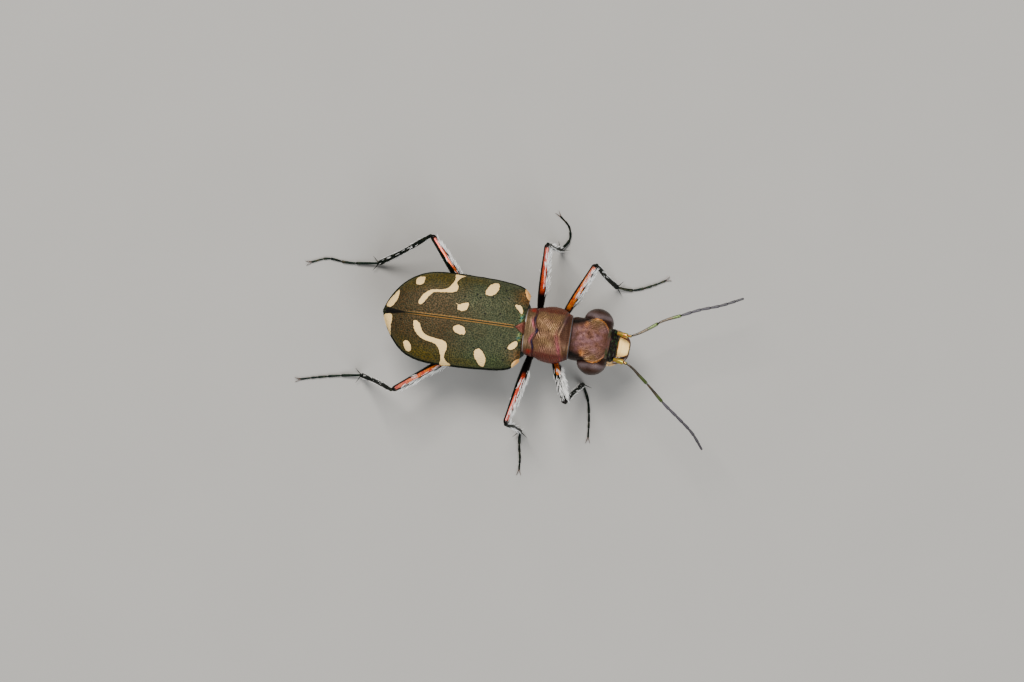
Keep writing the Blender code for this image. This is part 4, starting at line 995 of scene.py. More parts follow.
def build_wing_case(side, sign, sizes, material):
    """One wing case: the vault with its relief, a thin wall, an inner surface and closed ends. Its base
    dips, and the outer half of the base rises, which rounds the shoulder's lower corner. The base's edge
    then moves forward by base * exp((x - WING_BASE_X) / 0.8), and the case is sheared forward on the left
    and back on the right by WING_LEAN of its distance from the seam."""
    columns = WING_COLUMNS
    grid, share = wing_vault(sizes.wing_rows, columns, WING_SEAM_GAP)
    flat_x, flat_y = grid[..., 0], grid[..., 1]
    rim = np.linalg.norm(grid - grid[:, -1:], axis=-1)
    half = wing_half_width(flat_x[:, :1])
    lean = np.gradient(half[:, 0], flat_x[:, 0])[:, None]
    from_edge = (half - flat_y) / np.sqrt(1.0 + lean ** 2)
    ends = np.minimum(rim, (flat_x - WING_APEX_X) * 0.8)
    height, pit, dot, tone = wing_relief(flat_x, flat_y, ends, sizes, SEED + (5 if sign < 0.0 else 0))
    normals = grid_normals(grid, False)
    normals *= np.sign(normals[:, columns // 2:columns // 2 + 1, 2:3])
    outer = grid + normals * height[..., None]
    outer[..., 1] = np.maximum(outer[..., 1], 0.004)
    outer[..., 2] -= BASE_DIP * smoothstep(-0.16, WING_BASE_X, flat_x) ** 2
    outer[..., 2] += SHOULDER_LIFT * smoothstep(-0.80, WING_BASE_X, flat_x) ** 2 * smoothstep(0.50, 1.0, share)
    inner = (outer - normals * sizes.wing_thickness)[:, ::WING_INNER_STEP][:, ::-1]
    inner[..., 1] = np.maximum(inner[..., 1], 0.004)
    edge = (outer[:, -1] + inner[:, 0]) / 2.0 + np.array((0.0, 0.02, -0.03))
    loop = np.concatenate([outer, edge[:, None], inner], axis=1)
    x = loop[..., 0]
    y = loop[..., 1]
    base = 0.07 + 0.10 * (y / 1.6) ** 2 - 0.08 * hump(y, 2.0, 0.35)
    loop[..., 0] = x + base * np.exp((x - WING_BASE_X) / 0.8)
    loop[..., 1] = y * sign
    loop[..., 0] += WING_LEAN * loop[..., 1] * smoothstep(WING_APEX_X, WING_APEX_X + 1.5, x)
    x = loop[..., 0]
    plan_y = loop[..., 1]
    mark = np.min([spot_distance(x, plan_y, outline) for outline in MARKS[side]], axis=0)
    extra = loop.shape[1] - columns

    def around(outside, inside=0.0):
        return np.concatenate([outside, np.full((len(outside), extra), inside)], axis=1)

    far = np.abs(plan_y)
    brown = (smoothstep(-1.9, -4.3, x) * (1.0 - 0.35 * smoothstep(1.0, 2.1, far))
             + 0.25 * smoothstep(1.0, 0.2, far) * smoothstep(-0.8, -2.5, x))
    outer_side = smoothstep(1.15, 2.1, far + 0.35 * smoothstep(-4.6, -6.2, x)) * smoothstep(-2.3, -4.0, x)
    edge_side = 0.75 * smoothstep(1.72, 2.12, far) * smoothstep(-1.3, -2.3, x)
    values = {
        "mark": np.where(np.arange(loop.shape[1]) < columns, mark, 1.0),
        "pit": around(pit),
        "dot": around(dot),
        "tone": around(tone, 0.5),
        "seam": around(flat_y, 1.0),
        "rim": around(from_edge, 0.0),
        "bright": hump(x, -1.5, 1.3) * smoothstep(1.2, 1.9, -plan_y),
        "glint": 0.75 * hump(x, -0.02, 0.10) * smoothstep(0.22, 0.34, far) * smoothstep(0.80, 0.60, far),
        "brown": np.clip(brown, 0.0, 1.0),
        "olive": np.maximum(outer_side, edge_side),
        "gold": smoothstep(-6.1, -4.8, x) * smoothstep(-0.28, -0.45, x),
        "black": smoothstep(0.03, -0.02, far - through(x, WING_BLACK)),
        "shoulder": 0.75 * hump(x, 0.15, 0.55) * smoothstep(0.95, 1.35, far) * smoothstep(2.05, 1.7, far),
        "warm": smoothstep(-0.3, 0.0, x) * smoothstep(1.2, 1.5, far),
    }
    form = closed_form(loop, values, ends="flat")
    add_piece("wing_case_" + side, form, material, ["elytron_" + side], sharp=50.0)


def build_scutellum(material):
    """Small three-cornered shield between the wing cases' bases: half width 0.34 (1 - t^1.3) from its
    front to its rear point, slightly domed."""
    t = np.linspace(0.0, 1.0, 40)
    turn = np.linspace(0.0, 2.0 * np.pi, 48, endpoint=False)
    x = 0.18 - 0.50 * t
    half = np.maximum(0.34 * (1.0 - t ** 1.3), 0.004)
    y = half[:, None] * np.cos(turn)
    z = 4.345 + 0.10 * np.sqrt(t)[:, None] + 0.06 * np.where(np.sin(turn) > 0.0, 1.0, 1.5) * np.sin(turn)
    z = z - 0.10 * np.broadcast_to(smoothstep(0.25, 0.0, t)[:, None], z.shape)
    grid = np.stack([np.broadcast_to(x[:, None], y.shape), y, z], axis=-1)
    grid += 0.004 * waves(grid[..., 0] + 9.0, grid[..., 1], 0.05, SEED)[..., None] * np.array((0.0, 0.0, 1.0))
    edge = smoothstep(0.6, 1.0, np.abs(np.cos(turn)))[None]
    values = {"band": 0.3 * edge, "pink": 0.20 * (1 - edge), "red": 0.14 * (1 - edge), "ridge": 0.12}
    add_piece("scutellum_shield", closed_form(grid, values), material, ["scutellum"])


# Body and head


def profiles(x, table):
    """Half width, top, underside, widest height and power of the sections at x, from their profiles."""
    return [through(x, table[key]) for key in ("half", "top", "bottom", "widest", "power")]


def body_grid(x, half_width, top, bottom, widest, power, columns):
    """Sections across the body as superellipses with their own heights above and below."""
    angle = np.linspace(0.0, 2.0 * np.pi, columns, endpoint=False)[None]
    up = (top - widest)[:, None]
    down = (widest - bottom)[:, None]
    reach = oval(angle, half_width[:, None], up, down, power[:, None])
    y = reach * np.cos(angle)
    z = widest[:, None] + reach * np.sin(angle)
    return np.stack([np.broadcast_to(x[:, None], y.shape), y, z], axis=-1)


def build_hind_body(material):
    """Hind body under the wing cases: six plates, each overlapping the next by a small step."""
    rows = 150
    t = np.linspace(0.0, 1.0, rows)
    x = -2.68 - 4.10 * t
    room = wing_half_width(x) - 0.16
    half = np.minimum(2.02, room) * round_ends(t, 0.001, 0.10)
    plate = (t * 6.2) % 1.0
    step = 0.035 * plate ** 2
    bottom = 1.93 + 0.70 * t ** 2.2
    widest = wing_margin(x) - 0.12
    top = wing_margin(x) + np.maximum(wing_arch(x) - 0.14, 0.02)
    shrink = round_ends(t, 0.001, 0.10)
    bottom = widest - (widest - bottom) * shrink
    top = widest + (top - widest) * shrink
    grid = body_grid(x, half + step * 0.5, top, bottom - step, widest, np.full(rows, 2.4), 160)
    grid[..., 2] += 0.004 * waves(grid[..., 0] + 9.0, grid[..., 1] + 9.0, 0.10, SEED + 6)
    groove = np.clip(smoothstep(0.90, 1.0, plate) + smoothstep(0.05, 0.0, plate), 0.0, 1.0)
    add_piece("hind_body", closed_form(grid, {"groove": groove[:, None]}), material, ["abdomen"])
    return grid


def build_thorax_block(material):
    """Middle and hind thorax with its plates' seams as grooves, square below, up to the wing cases."""
    t = np.linspace(0.0, 1.0, 150)
    grid = body_grid(0.42 - 3.20 * t, *profiles(t, THORAX_BLOCK), 200)
    px = grid[..., 0]
    pz = grid[..., 2]
    seams = [(0.02, 0.45), (-0.85, 0.10), (-1.70, -0.35)]
    groove = np.zeros(px.shape)
    for start, lean in seams:
        groove = np.maximum(groove, hump(px, start + lean * (pz - 2.6), 0.035))
    groove = np.maximum(groove, hump(pz, 2.45 + 0.10 * px, 0.03) * smoothstep(0.2, 0.0, px))
    pits, _ = scattered_pits(px + pz * 0.5, np.cumsum(np.ones(px.shape), axis=1) * 0.03, 0.09, 0.8, SEED + 8)
    height = -0.035 * groove - 0.008 * smoothstep(0.035, 0.01, pits)
    grid = grid + outer_normals(grid) * height[..., None]
    # Painted shade on the block's upper front, under the fore thorax; it rides in groove with the seams' darker
    # colour.
    shaded = smoothstep(-0.25, 0.05, px) * smoothstep(2.9, 3.2, pz)
    values = {"groove": np.clip(groove * 0.8 + shaded, 0.0, 1.0)}
    add_piece("thorax_block", closed_form(grid, values), material, ["pterothorax"])
    return grid


def build_pronotum(sizes, material):
    """Fore thorax: a waisted barrel. A wavy hind furrow near x = 0.70, pushed forward in the middle, a
    fore furrow at x = 1.84 + 0.35 sqrt(y^2 + 0.03), a fine line down the middle, wrinkles along
    x - 0.42 |y| on the disc between them, lengthwise ones on the collar before it and cross ones on the
    base behind it."""
    rows = 236
    x = 0.06 + 2.47 * end_spaced(rows) * 0.25 + 2.47 * np.linspace(0.0, 1.0, rows) * 0.75
    grid = body_grid(x, *profiles(x, FORE_THORAX), 396)
    px, py, pz = (grid[..., c] for c in range(3))
    above = smoothstep(3.0, 3.4, pz)
    near = 0.70 + 0.085 * hump(py, 0.0, 0.15) - 0.075 * hump(np.abs(py), 0.55, 0.24)
    near += 0.02 * waves(py + 5.0, 0.0 * py, 0.3, SEED)
    far = 1.84 + 0.35 * np.sqrt(py ** 2 + 0.03) + 0.02 * waves(py + 7.0, 0.0 * py, 0.3, SEED + 1)
    hind_furrow = hump(px, near, 0.050)
    fore_furrow = hump(px, far, 0.075)
    middle_line = hump(py, 0.0, 0.018) * smoothstep(0.70, 0.80, px) * smoothstep(2.0, 1.9, px)
    disc = smoothstep(0.74, 0.86, px) * smoothstep(0.0, 0.10, far - px)
    collar = smoothstep(0.04, 0.12, px - far) * smoothstep(2.48, 2.42, px)
    phase = px - 0.42 * np.sqrt(py ** 2 + 0.02) + 0.045 * waves(px + 9.0, py + 9.0, 0.17, SEED + 2)
    fine = ripples(phase, sizes.wrinkle_pitch)
    broken = 0.55 + 0.45 * waves(px * 1.3 + 9.0, py + 9.0, 0.13, SEED + 5)
    length_wise = ripples(py + 0.02 * waves(px, py, 0.2, SEED), sizes.wrinkle_pitch * 1.1)
    band_wise = ripples(px + 0.02 * waves(px + 9.0, py, 0.2, SEED), sizes.wrinkle_pitch * 1.2)
    base_band = smoothstep(0.14, 0.22, px) * smoothstep(-0.04, -0.12, px - near)
    ridge = disc * fine * broken + collar * length_wise * 0.30 * broken + base_band * band_wise * 0.16
    height = sizes.wrinkle_depth * ridge
    height -= (0.075 * hind_furrow + 0.042 * fore_furrow) * above + 0.014 * middle_line * above
    height += 0.008 * waves(px + 9.0, py + 9.0, 0.30, SEED + 7) * disc
    height += 0.035 * hump(np.abs(py), 0.52, 0.40) * hump(px, 1.32, 0.55) * above
    height += 0.018 * hump(px, 0.17, 0.035) + 0.018 * hump(px, 2.47, 0.030)
    side_seam = hump(pz, 2.95 + 0.08 * px, 0.03)
    height -= 0.03 * side_seam * smoothstep(0.15, 0.3, px) * smoothstep(2.5, 2.3, px)
    grid = grid + outer_normals(grid) * height[..., None]
    far_out = np.abs(py)
    ahead = px - 0.05 * py ** 2
    patch = 0.5 + 0.5 * waves(px + 9.0, py + 9.0, 0.22, SEED + 9)
    striae = ripples(px - 0.9 * far_out, 0.075)
    side_band = smoothstep(0.98, 1.10, far_out + 0.06 * patch) * disc
    pink = (0.60 * hump(px, near - 0.11, 0.065) * hump(far_out, 0.36, 0.26)
            + 0.48 * hump(px, far - 0.10, 0.120) * smoothstep(0.35, -0.3, py) * (0.45 + 0.55 * patch)
            + 0.16 * disc * smoothstep(-0.5, -1.2, py))
    violet = (hump(px, near + 0.005, 0.048) * (0.35 + 0.65 * patch)
              + hump(px, near, 0.075) * hump(py, 0.0, 0.10)
              + 0.55 * hump(px, near, 0.06) * hump(far_out, 0.62, 0.18)
              + 0.62 * hump(px, far + 0.06, 0.15) * smoothstep(-0.1, 0.3, py) * (0.5 + 0.5 * patch))
    values = {
        # ridge paints highlight on the wrinkles' crests and shade in their furrows, and darkens the collar and
        # the base band in their own colour.
        "ridge": np.clip(0.5 + 0.5 * ridge - 0.40 * collar - 0.14 * base_band, 0.0, 1.0),
        "band": base_band * above,
        "pink": np.clip(pink, 0.0, 1.0) * above,
        "violet": np.clip(violet, 0.0, 1.0) * above,
        "red": (0.9 * hump(px, 0.52, 0.12) * smoothstep(0.88, 1.02, far_out)
                * smoothstep(1.20, 1.10, far_out) * above),
        "dark": np.clip(side_band * (0.72 + 0.28 * striae)
                        + 0.6 * smoothstep(0.85, 1.12, far_out) * (1.0 - disc)
                        + 0.45 * collar * (0.6 + 0.4 * patch) + smoothstep(0.140, 0.120, ahead)
                        + smoothstep(3.6, 3.2, pz), 0.0, 1.0) * 0.92,
        # rim: a painted pale highlight along the bead of the hind rim and of the fore rim, turning bluish grey
        # towards the front.
        "rim": (smoothstep(0.192, 0.180, ahead) * smoothstep(0.148, 0.158, ahead)
                + smoothstep(2.460, 2.475, px) * smoothstep(2.512, 2.500, px))
               * above * smoothstep(1.18, 1.05, far_out),
        "blue": smoothstep(1.0, 2.0, px) * above,
    }
    grid = turned(grid, PRO_PIVOT, PRO_YAW)
    add_piece("fore_thorax", closed_form(grid, values), material, ["prothorax"])
    return grid


def head_frame(points):
    """Points on the turned head of points given on the straight head."""
    return turned(points, HEAD_PIVOT, HEAD_YAW)


def build_head(sizes, material):
    """Head: flat between the eyes with a raised rim beside each, falling to the front, which is black from x =
    4.53 on, a little sooner at its sides, that black partly its own colour and partly painted shade in the
    recess. Fine lengthwise wrinkles beside the eyes, broken cross ones in the middle, and painted shade in the
    corners behind the eyes."""
    rows = 230
    x = 2.36 + 2.58 * (0.85 * np.linspace(0.0, 1.0, rows) + 0.15 * end_spaced(rows))
    grid = body_grid(x, *profiles(x, HEAD), 396)
    grid[..., 1] *= 1.0 - 0.20 * smoothstep(3.2, 2.6, grid[..., 2])
    px, py, pz = (grid[..., c] for c in range(3))
    above = smoothstep(3.55, 3.8, pz)
    far = np.abs(py)
    inner = through(px, EYE_INNER_EDGE)
    eye_zone = smoothstep(3.05, 3.30, px) * smoothstep(4.45, 4.30, px)
    rim = hump(far, inner - 0.055, 0.045) * eye_zone
    striped = smoothstep(0.35, 0.60, far) * smoothstep(2.75, 3.05, px) * smoothstep(4.40, 4.20, px)
    length_wise = ripples(far + 0.02 * waves(px + 9.0, py, 0.3, SEED), 0.070)
    middle = (1.0 - striped) * smoothstep(2.5, 2.7, px) * smoothstep(4.40, 4.25, px)
    bowed = px + 0.10 * py ** 2 + 0.03 * waves(px + 9.0, py + 9.0, 0.15, SEED + 2)
    cross_wise = ripples(bowed, 0.055) * (0.4 + 0.6 * waves(px + 9.0, py * 1.5 + 9.0, 0.12, SEED + 6))
    ragged = px + 0.10 * smoothstep(0.25, 0.60, far) + 0.05 * waves(py + 9.0, px, 0.13, SEED)
    front = smoothstep(4.49, 4.57, ragged)
    rough_front = smoothstep(4.56, 4.62, px) * smoothstep(3.1, 3.3, pz)
    fleck = smoothstep(0.35, 0.65, waves(px * 1.4 + 9.0, py + 9.0, 0.07, SEED + 14)) * rough_front
    ridge = striped * length_wise + middle * cross_wise
    height = sizes.wrinkle_depth * 0.9 * ridge * above + 0.045 * rim * above
    height += 0.012 * hump(far, 0.0, 0.25) * hump(px, 3.45, 0.30) * above
    height += 0.012 * waves(px + 9.0, py + 9.0, 0.06, SEED + 15) * smoothstep(4.50, 4.60, px)
    height -= 0.05 * hump(px, 4.55, 0.045) * smoothstep(3.2, 3.5, pz)
    height -= 0.04 * hump(px, 4.76, 0.03) * smoothstep(0.75, 0.6, far) * smoothstep(3.1, 3.3, pz)
    height += 0.004 * waves(px + 9.0, py + 9.0, 0.20, SEED + 11) * above
    grid = grid + outer_normals(grid) * height[..., None]
    patch = 0.5 + 0.5 * waves(px + 9.0, py + 9.0, 0.25, SEED + 12)
    # Painted shade in the corners behind the eyes, where the head meets the fore thorax.
    shade_behind_eyes = smoothstep(0.62, 0.92, far + 0.04 * patch) * smoothstep(3.26, 3.04, px)
    shade_behind_eyes = np.maximum(shade_behind_eyes, smoothstep(0.82, 0.95, far) * smoothstep(3.50, 3.28, px))
    values = {
        # ridge paints highlight on the wrinkles' crests and shade in their furrows.
        "ridge": np.clip(0.5 + 0.5 * ridge, 0.0, 1.0),
        "olive": np.clip(smoothstep(0.25, 1.0, far) * smoothstep(2.9, 3.5, px) * smoothstep(4.45, 4.05, px)
                         * (0.35 + 0.65 * patch), 0.0, 1.0),
        "gold": np.clip(0.95 * hump(far, inner - 0.03, 0.042)
                        * smoothstep(3.45, 3.70, px) * smoothstep(4.36, 4.24, px)
                        + 0.60 * hump(px, 3.18, 0.13) * hump(far, 0.74, 0.15) * (0.4 + 0.6 * patch),
                        0.0, 1.0) * above,
        "green": np.clip(0.90 * hump(px, 4.40, 0.07) * smoothstep(0.10, 0.50, far) * (0.4 + 0.6 * patch)
                         + 0.8 * fleck, 0.0, 1.0),
        # dark: the black front, partly its own colour and partly painted shade, the painted shade behind the
        # eyes, and darker towards the bottom and the neck.
        "dark": np.clip(0.97 * front * (1.0 - 0.55 * fleck) + 0.96 * shade_behind_eyes + smoothstep(3.7, 3.3, pz)
                        + 0.55 * smoothstep(2.95, 2.55, px), 0.0, 1.0),
    }
    grid = head_frame(grid)
    add_piece("head_capsule", closed_form(grid, values), material, ["head"])
    return grid


def build_eyes(material):
    """Two bulging eyes: ellipsoids whose poles face sideways. edge paints shade on them towards the head and at
    their outer side, bloom paints a grey highlight on a band between."""
    turn = np.linspace(0.0, 2.0 * np.pi, 128, endpoint=False)[None]
    rise = np.linspace(0.02, np.pi - 0.02, 96)[:, None]
    for side, sign in SIDES:
        centre = np.array((EYE_CENTRE[0], EYE_CENTRE[1] * sign, EYE_CENTRE[2]))
        ball = np.stack([np.sin(rise) * np.cos(turn), np.cos(rise) * np.ones_like(turn) * sign,
                         np.sin(rise) * np.sin(turn)], axis=-1)
        grid = turned(ball * np.array(EYE_RADII), (0.0, 0.0), -sign * EYE_TURN) + centre
        far = np.abs(grid[..., 1]) + 0.05 * (grid[..., 0] - EYE_CENTRE[0])
        edge = np.maximum(smoothstep(1.20, 1.08, far), 0.8 * smoothstep(1.42, 1.60, far))
        # edge is painted shade at the eye's inner and outer edge; bloom is a painted highlight on its upper
        # side.
        values = {"edge": edge * 0.9, "bloom": hump(far, 1.26, 0.13) * smoothstep(3.5, 3.8, grid[..., 2])}
        add_piece("eye_ball_" + side, closed_form(head_frame(grid), values), material, ["eye_" + side])


# Mouth and feelers


def build_upper_lip(material):
    """Upper lip: a plate 0.55 long, half width 0.50 falling to 0.30, domed across, with a small
    tooth in the middle of its front edge, tipped down."""
    rows = 70
    t = np.linspace(0.0, 1.0, rows)
    turn = np.linspace(0.0, 2.0 * np.pi, 96, endpoint=False)
    half = through(t, ((0.0, 0.47), (0.10, 0.50), (0.45, 0.46), (0.80, 0.37), (0.95, 0.27), (1.0, 0.16)))
    thick = 0.075 * round_ends(t, 0.06, 0.16)
    across = np.sign(np.cos(turn)) * np.abs(np.cos(turn)) ** 0.8
    y = half[:, None] * across[None]
    x = 4.93 + 0.59 * t[:, None] - 0.06 * (y / 0.5) ** 2
    x = x + 0.035 * hump(y, 0.0, 0.05) * smoothstep(0.8, 1.0, t)[:, None]
    z = 3.20 - 0.20 * t[:, None] - 0.16 * (y / 0.5) ** 2 + thick[:, None] * np.sin(turn)[None]
    z = z - 0.015 * hump(t, 0.35, 0.05)[:, None]
    grid = head_frame(np.stack([x, y, z], axis=-1))
    level = np.broadcast_to(t[:, None], y.shape)
    edge = 0.8 * smoothstep(0.82, 1.0, np.abs(across))[None]
    values = {
        "orange": np.clip(smoothstep(0.14, 0.02, level) + edge, 0.0, 1.0) * 0.8,
        "dark": smoothstep(0.90, 0.97, level + 0.02 * np.cos(9.0 * y)),
    }
    add_piece("upper_lip", closed_form(grid, values), material, ["labrum"])


def build_jaws(material):
    """Two sickle jaws under the lip, the left over the right: an arc whose radius falls to a point,
    with three teeth on its inner side and a pale outer base."""
    share = np.linspace(0.0, 1.0, 60)
    for side, sign in SIDES:
        angle = np.radians(-14.0 + 116.0 * share)
        x = 4.68 + 0.80 * np.sin(angle)
        y = sign * (0.06 + 0.64 * np.abs(np.cos(angle)) ** 0.8 * np.sign(np.cos(angle)))
        z = np.full(share.shape, 2.52 + 0.05 * sign) + 0.04 * share
        path = np.stack([x, y, z], axis=-1)
        radius = (0.185 * (1.0 - share) ** 0.65 + 0.012) * round_ends(share, 0.06, 0.02)
        grid, turn = sweep(path, radius, radius * 0.75, (0.0, 0.0, 1.0), 32)
        pale = smoothstep(0.24, 0.12, share)[:, None] * (0.35 + 0.65 * (np.sin(turn)[None] > -0.3))
        forms = [closed_form(head_frame(grid), {"pale": pale})]
        for start, reach in JAW_TEETH:
            root = path[int(start * 59)]
            inward = unit(np.array((4.95, 0.0, root[2])) - root)
            run = root + inward * np.linspace(0.0, reach, 16)[:, None]
            tooth = 0.07 * (1.0 - np.linspace(0.0, 1.0, 16)) ** 0.8 + 0.004
            spike, _ = sweep(run, tooth, tooth * 0.7, (0.0, 0.0, 1.0), 16)
            forms.append(closed_form(head_frame(spike), {"pale": 0.0}))
        add_piece("jaw_" + side, joined(forms), material, ["mandible_" + side])


def jointed(path_points, lengths, radii, sides, reference, round_share=0.10, rows=26, frame_turn=None):
    """Row of joints along a curve: each starts thin, swells to its outer end and closes round it.
    Returns the forms with along, 0 to 1 of the whole, joint, 1 at the ends of each joint, pale, 1 between
    them, and bloom, 1 on the outer part of each joint."""
    total = sum(lengths)
    forms = []
    start = 0.0
    for length, (near, far) in zip(lengths, radii):
        s = end_spaced(rows)
        share = (start + length * (s * 1.02 - 0.01)) / total
        path = curve_through(path_points, np.clip(share, 0.0, 1.0))
        radius = near + (far - near) * smoothstep(0.0, 0.9, s)
        radius = radius * round_ends(s, round_share, round_share * 1.3)
        grid, _ = sweep(path, radius, radius, reference, sides)
        if frame_turn is not None:
            grid = frame_turn(grid)
        cap = np.clip(smoothstep(0.10, 0.02, s) + smoothstep(0.93, 0.99, s), 0.0, 1.0)
        values = {"along": np.clip(share, 0.0, 1.0), "joint": cap, "pale": 1.0 - cap,
                  "bloom": smoothstep(0.52, 0.74, s)}
        forms.append(closed_form(grid, {key: value[:, None] for key, value in values.items()}))
        start += length
    return forms


def build_mouth_feelers(material):
    """Jointed feelers of the outer mouth, four joints each, with the inner lobes beside them, and the
    lower lip, a rounded plate, with its own pair."""
    across = (1.0, 0.0, 0.3)
    for side, sign in SIDES:
        forms = []
        for (run, lengths, radii), sides, rows in ((MOUTH_FEELER, 20, 24), (MOUTH_LOBE, 16, 18)):
            run = [(x, sign * y, z) for x, y, z in run]
            forms += jointed(run, lengths, radii, sides, across, 0.14, rows, head_frame)
        add_piece("mouth_feeler_" + side, joined(forms), material, ["maxillary_palp_" + side])
    t = end_spaced(40)
    plate = np.stack([3.15 + 1.15 * t, np.zeros(40), 2.32 - 0.24 * t], axis=-1)
    ends = round_ends(t, 0.2, 0.25)
    grid, _ = sweep(plate, 0.46 * ends, 0.13 * ends, (0.0, 0.0, 1.0), 40)
    forms = [closed_form(head_frame(grid), {"pale": 0.0})]
    run, lengths, radii = LOWER_LIP_FEELER
    for _, sign in SIDES:
        run_here = [(x, sign * y, z) for x, y, z in run]
        forms += jointed(run_here, lengths, radii, 18, across, 0.14, 20, head_frame)
    add_piece("lower_lip", joined(forms), material, ["labium"])


def build_feelers(material):
    """Two feelers of eleven joints: a stout base joint, a short one, two long ones of metal and seven
    dull ones."""
    for side, _ in SIDES:
        forms = jointed(FEELERS[side], FEELER_JOINTS, FEELER_RADII, 22, (0.0, 0.0, 1.0), 0.08, 34)
        add_piece("feeler_" + side, joined(forms), material, ["antenna_" + side])


# Legs


def leg_axes(leg):
    """Hip, knee and ankle as arrays, the normal of the leg's plane, and the level direction across
    the thigh that points to the head."""
    hip, knee, ankle = (np.array(point) for point in LEGS[leg][:3])
    normal = unit(np.cross(knee - hip, ankle - knee))
    run = knee - hip
    fore = unit(np.array((-run[1], run[0], 0.0)))
    return hip, knee, ankle, normal, fore if fore[0] > 0.0 else -fore


def thigh_values(grid, path, fore, share, leg):
    """along, stripe (the red metal, a band along the thigh's top between dark rear and front sides,
    whose rear edge runs from one place across the thigh near the root to another near the knee),
    orange and end (dark root and knee)."""
    start, stop, orange, near_edge, knee_edge = THIGH_COLOURING[leg]
    outward_way = unit(grid - path[:, None])
    facing = outward_way @ fore
    edge = near_edge + (knee_edge - near_edge) * smoothstep(0.40, 0.85, share)[:, None]
    stripe = smoothstep(-0.14, 0.14, facing - edge) * smoothstep(-0.30, 0.05, outward_way[..., 2])
    stripe = stripe * smoothstep(0.72, 0.42, facing) * smoothstep(stop + 0.04, stop - 0.06, share)[:, None]
    end = np.clip(smoothstep(start + 0.06, start - 0.03, share) + smoothstep(0.945, 0.975, share), 0.0, 1.0)
    return {"along": share[:, None], "stripe": stripe, "orange": orange, "end": end[:, None]}


def build_thigh(leg, material):
    """Thigh: a tube from hip to knee with its own profile, bowed up by THIGH_BOW sin(pi s)."""
    hip, knee, _, normal, fore = leg_axes(leg)
    s = end_spaced(80)
    bow = np.array((0.0, 0.0, THIGH_BOW)) * np.sin(np.pi * s)[:, None]
    path = hip + (knee - hip) * s[:, None] + bow
    radius = through(s, THIGH_RADIUS) * round_ends(s, 0.05, 0.05)
    grid, _ = sweep(path, radius, radius * 0.90, normal, 40)
    values = thigh_values(grid, path, fore, s, leg)
    add_piece("thigh_" + leg, closed_form(grid, values), material, ["femur_" + leg])
    return grid, path, fore, s


def build_shank(leg, material):
    """Shank: thin root, even stem, wider ankle, bowed by SHANK_BOW sin(pi s)^2, with two spurs."""
    _, knee, ankle, normal, fore = leg_axes(leg)
    s = end_spaced(90)
    axis = unit(ankle - knee)
    out = unit(np.cross(normal, axis))
    curve = out[None] * (SHANK_BOW * np.sin(np.pi * s) ** 2)[:, None]
    path = knee + axis * 0.02 + (ankle - knee) * s[:, None] + curve
    radius = through(s, SHANK_RADIUS) * round_ends(s, 0.03, 0.025)
    grid, _ = sweep(path, radius, radius * 0.92, normal, 32)
    forms = [closed_form(grid)]
    foot = unit(np.array(LEGS[leg][3][0]) - ankle)
    level = unit(np.array((foot[0], foot[1], 0.0)))
    aside = np.array((-level[1], level[0], 0.0))
    for sign in (1.0, -1.0):
        t = np.linspace(0.0, 1.0, 24)[:, None]
        heading = unit(level * 0.62 + aside * 0.75 * sign - np.array((0.0, 0.0, 0.22)))
        run = ankle + np.array((0.0, 0.0, 0.03)) + heading * t * SPUR_LENGTH
        run[:, 2] = np.maximum(run[:, 2], 0.03)
        spike = 0.026 * (1.0 - t[:, 0]) ** 0.7 + 0.003
        thorn, _ = sweep(run, spike, spike, (0.0, 0.0, 1.0), 12)
        forms.append(closed_form(thorn))
    add_piece("shank_" + leg, joined(forms), material, ["tibia_" + leg])
    return grid, path, fore, s


def build_foot(leg, material, claw_material):
    """Foot of five joints, each a little wider at its outer end, and two curved claws."""
    points = (LEGS[leg][2], *LEGS[leg][3])
    reach = sum(math.dist(a, b) for a, b in zip(points, points[1:]))
    lengths = [share * reach for share in FOOT_SHARES]
    verts, faces, _ = joined(jointed(points, lengths, FOOT_RADII, 20, (0.0, 0.0, 1.0), 0.10, 28))
    verts[:, 2] = np.maximum(verts[:, 2], 0.004)
    add_piece("foot_" + leg, (verts, faces, {}), material, ["tarsus_" + leg])
    tip = np.array(points[-1])
    ahead = unit(tip - np.array(points[-2]))
    ahead[2] = 0.0
    ahead = unit(ahead)
    aside = np.array((-ahead[1], ahead[0], 0.0))
    claws = []
    t = np.linspace(0.0, 1.0, 26)
    for sign in (1.0, -1.0):
        run = (tip - ahead * 0.03 + ahead * (CLAW_REACH * np.sin(t * 1.45))[:, None]
               + aside * sign * (0.02 + 0.11 * t)[:, None])
        run[:, 2] = 0.055 + 0.045 * np.sin(np.pi * t * 0.9) - 0.045 * t
        spike = 0.026 * (1.0 - t) ** 0.7 + 0.003
        horn, _ = sweep(run, spike * 0.8, spike, (0.0, 0.0, 1.0), 12)
        claws.append(closed_form(horn, {"pale": 0.0}))
    add_piece("claws_" + leg, joined(claws), claw_material)


